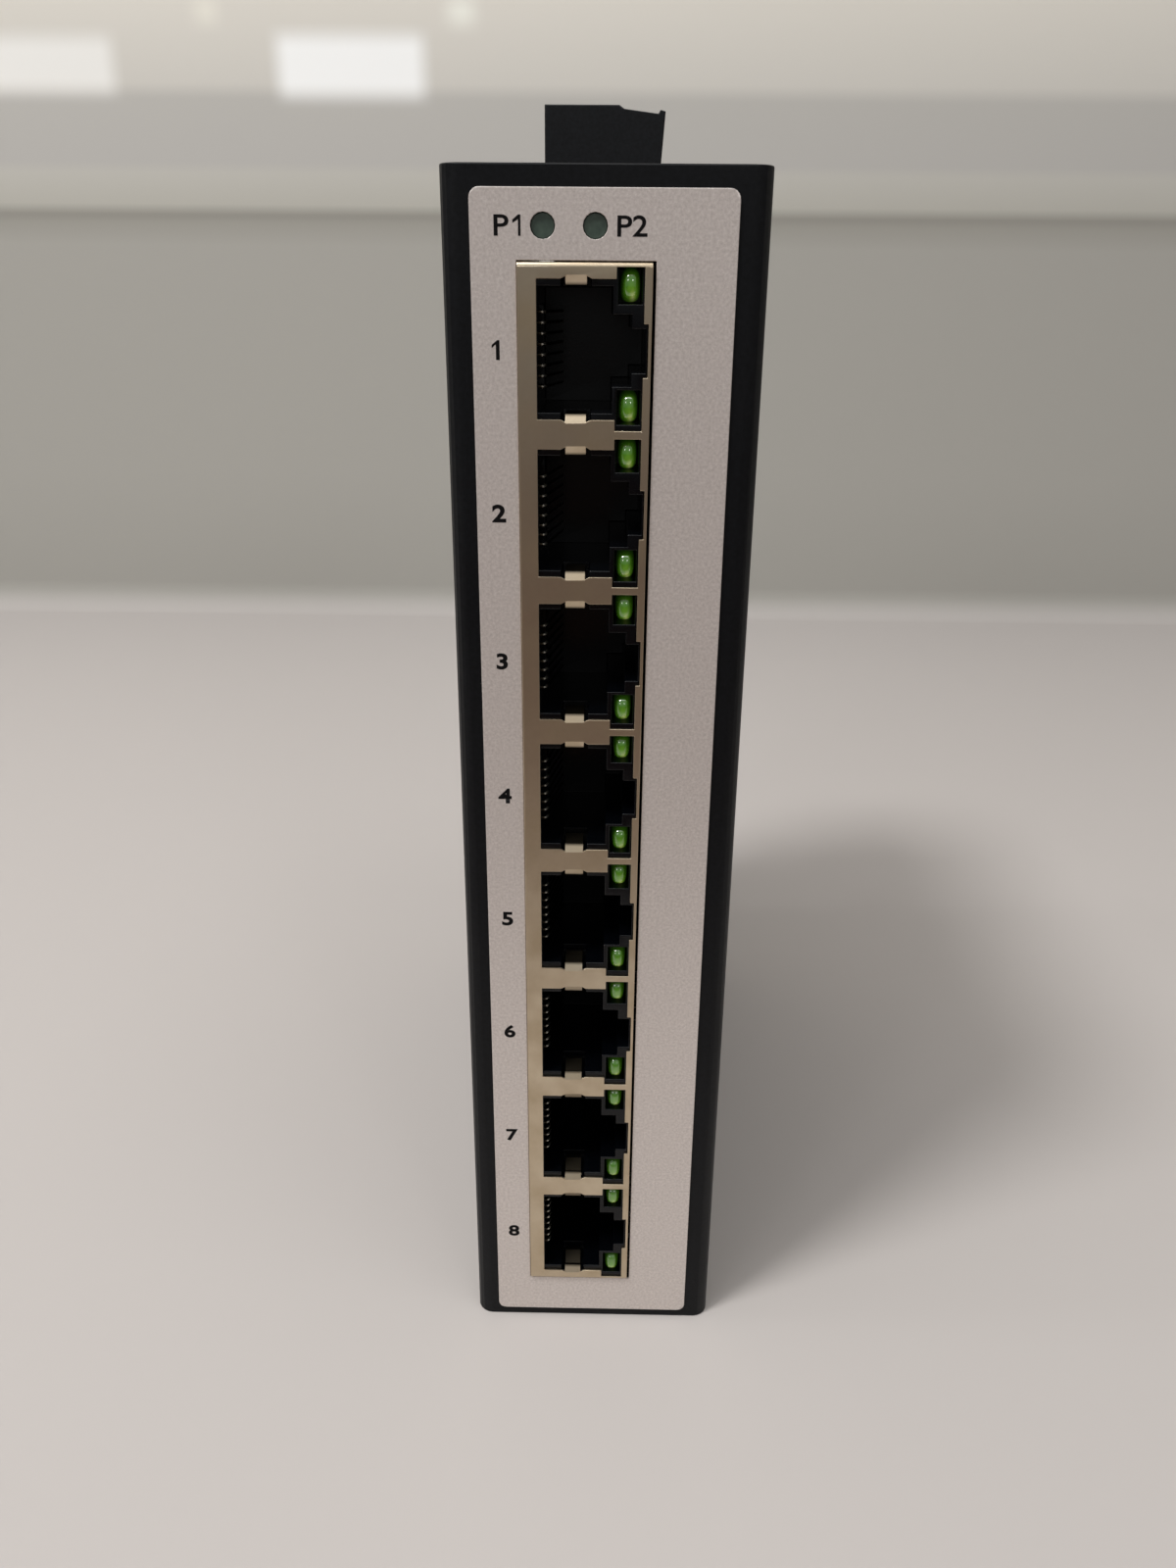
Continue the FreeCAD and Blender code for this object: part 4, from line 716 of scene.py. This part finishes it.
def mark(text, x, z, weight, stem):               # middle in mm; weight and stem in shares of its height
    widen, capHeight = printed["widen"], printed["capHeight"]
    if text == "1":                               # drawn with its flag, which the built-in face leaves out
        one, left = figureOne, figureOne["right"] - stem
        outline = [(left, 0), (one["right"], 0), (one["right"], 1), (one["shoulder"], 1),
                   (one["tip"], one["tipTop"]), (one["tip"], one["tipLow"]), (left, one["joins"])]
        flat = bpy.data.meshes.new(text)
        flat.from_pydata([(u, v, 0) for u, v in outline], [], [range(len(outline))])
        widen = 1.0
    else:
        curve = bpy.data.curves.new(text, "FONT")
        curve.body = text
        curve.resolution_u = printed["curvePoints"]
        curve.offset = weight                     # set heavier than it is drawn
        holder = linked(text, curve)
        flat = evaluatedMesh(holder, text)
        bpy.data.objects.remove(holder)
    xs, ys = [v.co.x for v in flat.vertices], [v.co.y for v in flat.vertices]
    scale = capHeight * mm / (max(ys) - min(ys))
    centre = Vector(((max(xs) + min(xs)) / 2, (max(ys) + min(ys)) / 2, 0))
    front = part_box("front_label")[0].y - printed["lift"] * mm
    flat.transform(Matrix.Translation(-centre))
    flat.transform(Matrix.Diagonal((scale * widen, scale, scale, 1)))
    flat.transform(Matrix.Translation((x * mm, front, z * mm)) @ Matrix.Rotation(math.pi / 2, 4, "X"))
    return flat


def labelPrint():
    marks = [mark(text, x, printed["markZ"], printed["lampWeight"], printed["lampStem"])
             for text, x in printed["lampMarks"]]
    for port, node in enumerate(portNodes["jack_housing"], 1):
        low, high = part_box(node)
        marks.append(mark(str(port), printed["numberX"], (low.z + high.z) / 2 / mm, printed["numberWeight"],
                          printed["numberStem"]))
    joined = bmesh.new()
    for flat in marks:
        joined.from_mesh(flat)
    mesh = bpy.data.meshes.new("labelPrint")
    joined.to_mesh(mesh)
    joined.free()
    shape = linked("labelPrint", mesh)
    paint(shape, "ink")
    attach(shape, "switch")
    print("label print:", len(marks), "marks")


labelPrint()


# floor, backdrop and light
studio = {                                        # mm; each band is a height and its colour
    "wallDistance": 347, "coveRadius": 12, "coveStep": 10, "wallHeight": 900, "halfWidth": 1500,
    "front": -1500, "farShade": "42281A", "nearEdge": -120, "farEdge": -235, "blur": 5,
    "bands": [(0, "B7B1AD"), (8, "A3A099"), (60, "A8A59E"), (150, "A6A39C"), (158, "9C9991"),
              (161, "918E86"), (165, "B4B1A8"), (176, "BCB9B1"), (180, "B6B3AE"), (202, "B8B5AF"),
              (207, "CDC9C1"), (240, "DCD7CD")],
    "panes": [(-100, 213, 28, 10, "F8F8F6"), (-222, 213, 30, 9, "EDEBE6"), (-57, 231, 5, 4, "EDECE2"),
              (-154, 231, 4, 4, "E6E2D6")],       # across and up, half width and half height, colour
    "skyTones": [(0.0, 0.14), (0.48, 0.16), (0.62, 0.30), (1.0, 0.45)],
}
lampAim = (0, 0, 70)
lamps = {                                         # each light's place and size in mm, and its watts
    "key": {"place": (-462, -363, 1005), "size": (250, 250), "power": 7.6},
    "overhead": {"place": (0, -250, 900), "size": (900, 300), "power": 2.4},
    "windowLeft": {"place": (-430, -700, 440), "size": (170, 170), "power": 0.5},
    "windowRight": {"place": (340, -760, 440), "size": (150, 150), "power": 0.4},
    "shelfLamp": {"place": (-620, -60, 800), "size": (90, 90), "power": 0.5},
}


def backdrop():
    far, radius, half = studio["wallDistance"], studio["coveRadius"], studio["halfWidth"]
    line = [(studio["front"], 0), (far - radius, 0)]
    for angle in range(studio["coveStep"], 91, studio["coveStep"]):
        turn = math.radians(angle)
        line.append((far - radius + radius * math.sin(turn), radius - radius * math.cos(turn)))
    line.append((far, studio["wallHeight"]))
    mesh = bpy.data.meshes.new("backdrop")
    points = [(side * half * mm, y * mm, z * mm) for y, z in line for side in (-1, 1)]
    faces = [(2 * at, 2 * at + 1, 2 * at + 3, 2 * at + 2) for at in range(len(line) - 1)]
    mesh.from_pydata(points, [], faces)
    for face in mesh.polygons:
        face.use_smooth = True
    shape = linked("backdrop", mesh)
    material, tree, shader, place = newMaterial("matt_paper", Roughness=0.9)   # bench and wall, no gloss
    spot = addNode(tree, "ShaderNodeSeparateXYZ", links={"Vector": place}).outputs
    top = studio["bands"][-1][0]
    rise = addNode(tree, "ShaderNodeMapRange", inputs={"From Max": top * mm}, links={"Value": spot["Z"]})
    seen = addNode(tree, "ShaderNodeValToRGB", links={"Fac": rise.outputs["Result"]},
                   stops=[(height / top, shade) for height, shade in studio["bands"]]).outputs["Color"]
    for across, up, halfWidth, halfHeight, shade in studio["panes"]:   # far windows with blurred edges
        share = addNode(tree, "ShaderNodeMath", operation="MULTIPLY")
        for at, (axis, middle, reach) in enumerate((("X", across, halfWidth), ("Z", up, halfHeight))):
            offset = addNode(tree, "ShaderNodeMath", operation="SUBTRACT", inputs={1: middle * mm},
                             links={0: spot[axis]})
            apart = addNode(tree, "ShaderNodeMath", operation="ABSOLUTE", links={0: offset.outputs["Value"]})
            outer, inner = (reach + studio["blur"]) * mm, (reach - studio["blur"]) * mm
            addNode(tree, "ShaderNodeMapRange", interpolation_type="SMOOTHSTEP",
                    inputs={"From Min": outer, "From Max": inner},
                    links={"Value": apart.outputs["Value"]}, into={"Result": share.inputs[at]})
        seen = addNode(tree, "ShaderNodeMix", data_type="RGBA", links={0: share.outputs["Value"], 6: seen},
                       inputs={7: hexColour(shade)}).outputs[2]
    # painted shade beyond the bench's near edge, standing for the unlit room: met by reflections and bounced
    # light, not by the camera
    reach = addNode(tree, "ShaderNodeMapRange", links={"Value": spot["Y"]},
                    inputs={"From Min": studio["nearEdge"] * mm, "From Max": studio["farEdge"] * mm})
    hidden = addNode(tree, "ShaderNodeMath", operation="SUBTRACT", inputs={0: 1.0},
                     links={1: addNode(tree, "ShaderNodeLightPath").outputs["Is Camera Ray"]})
    share = addNode(tree, "ShaderNodeMath", operation="MULTIPLY",
                    links={0: reach.outputs["Result"], 1: hidden.outputs["Value"]})
    addNode(tree, "ShaderNodeMix", data_type="RGBA", links={0: share.outputs["Value"], 6: seen},
            inputs={7: hexColour(studio["farShade"])}, into={2: shader.inputs["Base Color"]})
    shape.data.materials.append(material)


def lights():
    aim = Vector(lampAim) * mm
    for name, lamp in lamps.items():
        data = bpy.data.lights.new(name, "AREA")
        data.shape = "RECTANGLE" if name == "overhead" else "ELLIPSE"
        data.size, data.size_y = [side * mm for side in lamp["size"]]
        data.energy = lamp["power"]
        holder = linked(name, data)
        holder.location = Vector(lamp["place"]) * mm
        if name != "overhead":                    # that one lies level over the bench
            holder.rotation_euler = (holder.location - aim).to_track_quat("Z", "Y").to_euler()
    world = bpy.data.worlds.new("studio")         # soft light all round: dim below, bright overhead
    world.use_nodes = True
    tree = world.node_tree
    up = addNode(tree, "ShaderNodeSeparateXYZ",
                 links={"Vector": addNode(tree, "ShaderNodeTexCoord").outputs["Generated"]}).outputs["Z"]
    height = addNode(tree, "ShaderNodeMapRange", inputs={"From Min": -1.0}, links={"Value": up})
    addNode(tree, "ShaderNodeValToRGB", links={"Fac": height.outputs["Result"]}, stops=studio["skyTones"],
            into={"Color": tree.nodes["Background"].inputs["Color"]})
    bpy.context.scene.world = world


backdrop()
lights()
bpy.context.scene.view_settings.view_transform = "Standard"
print("studio lit")
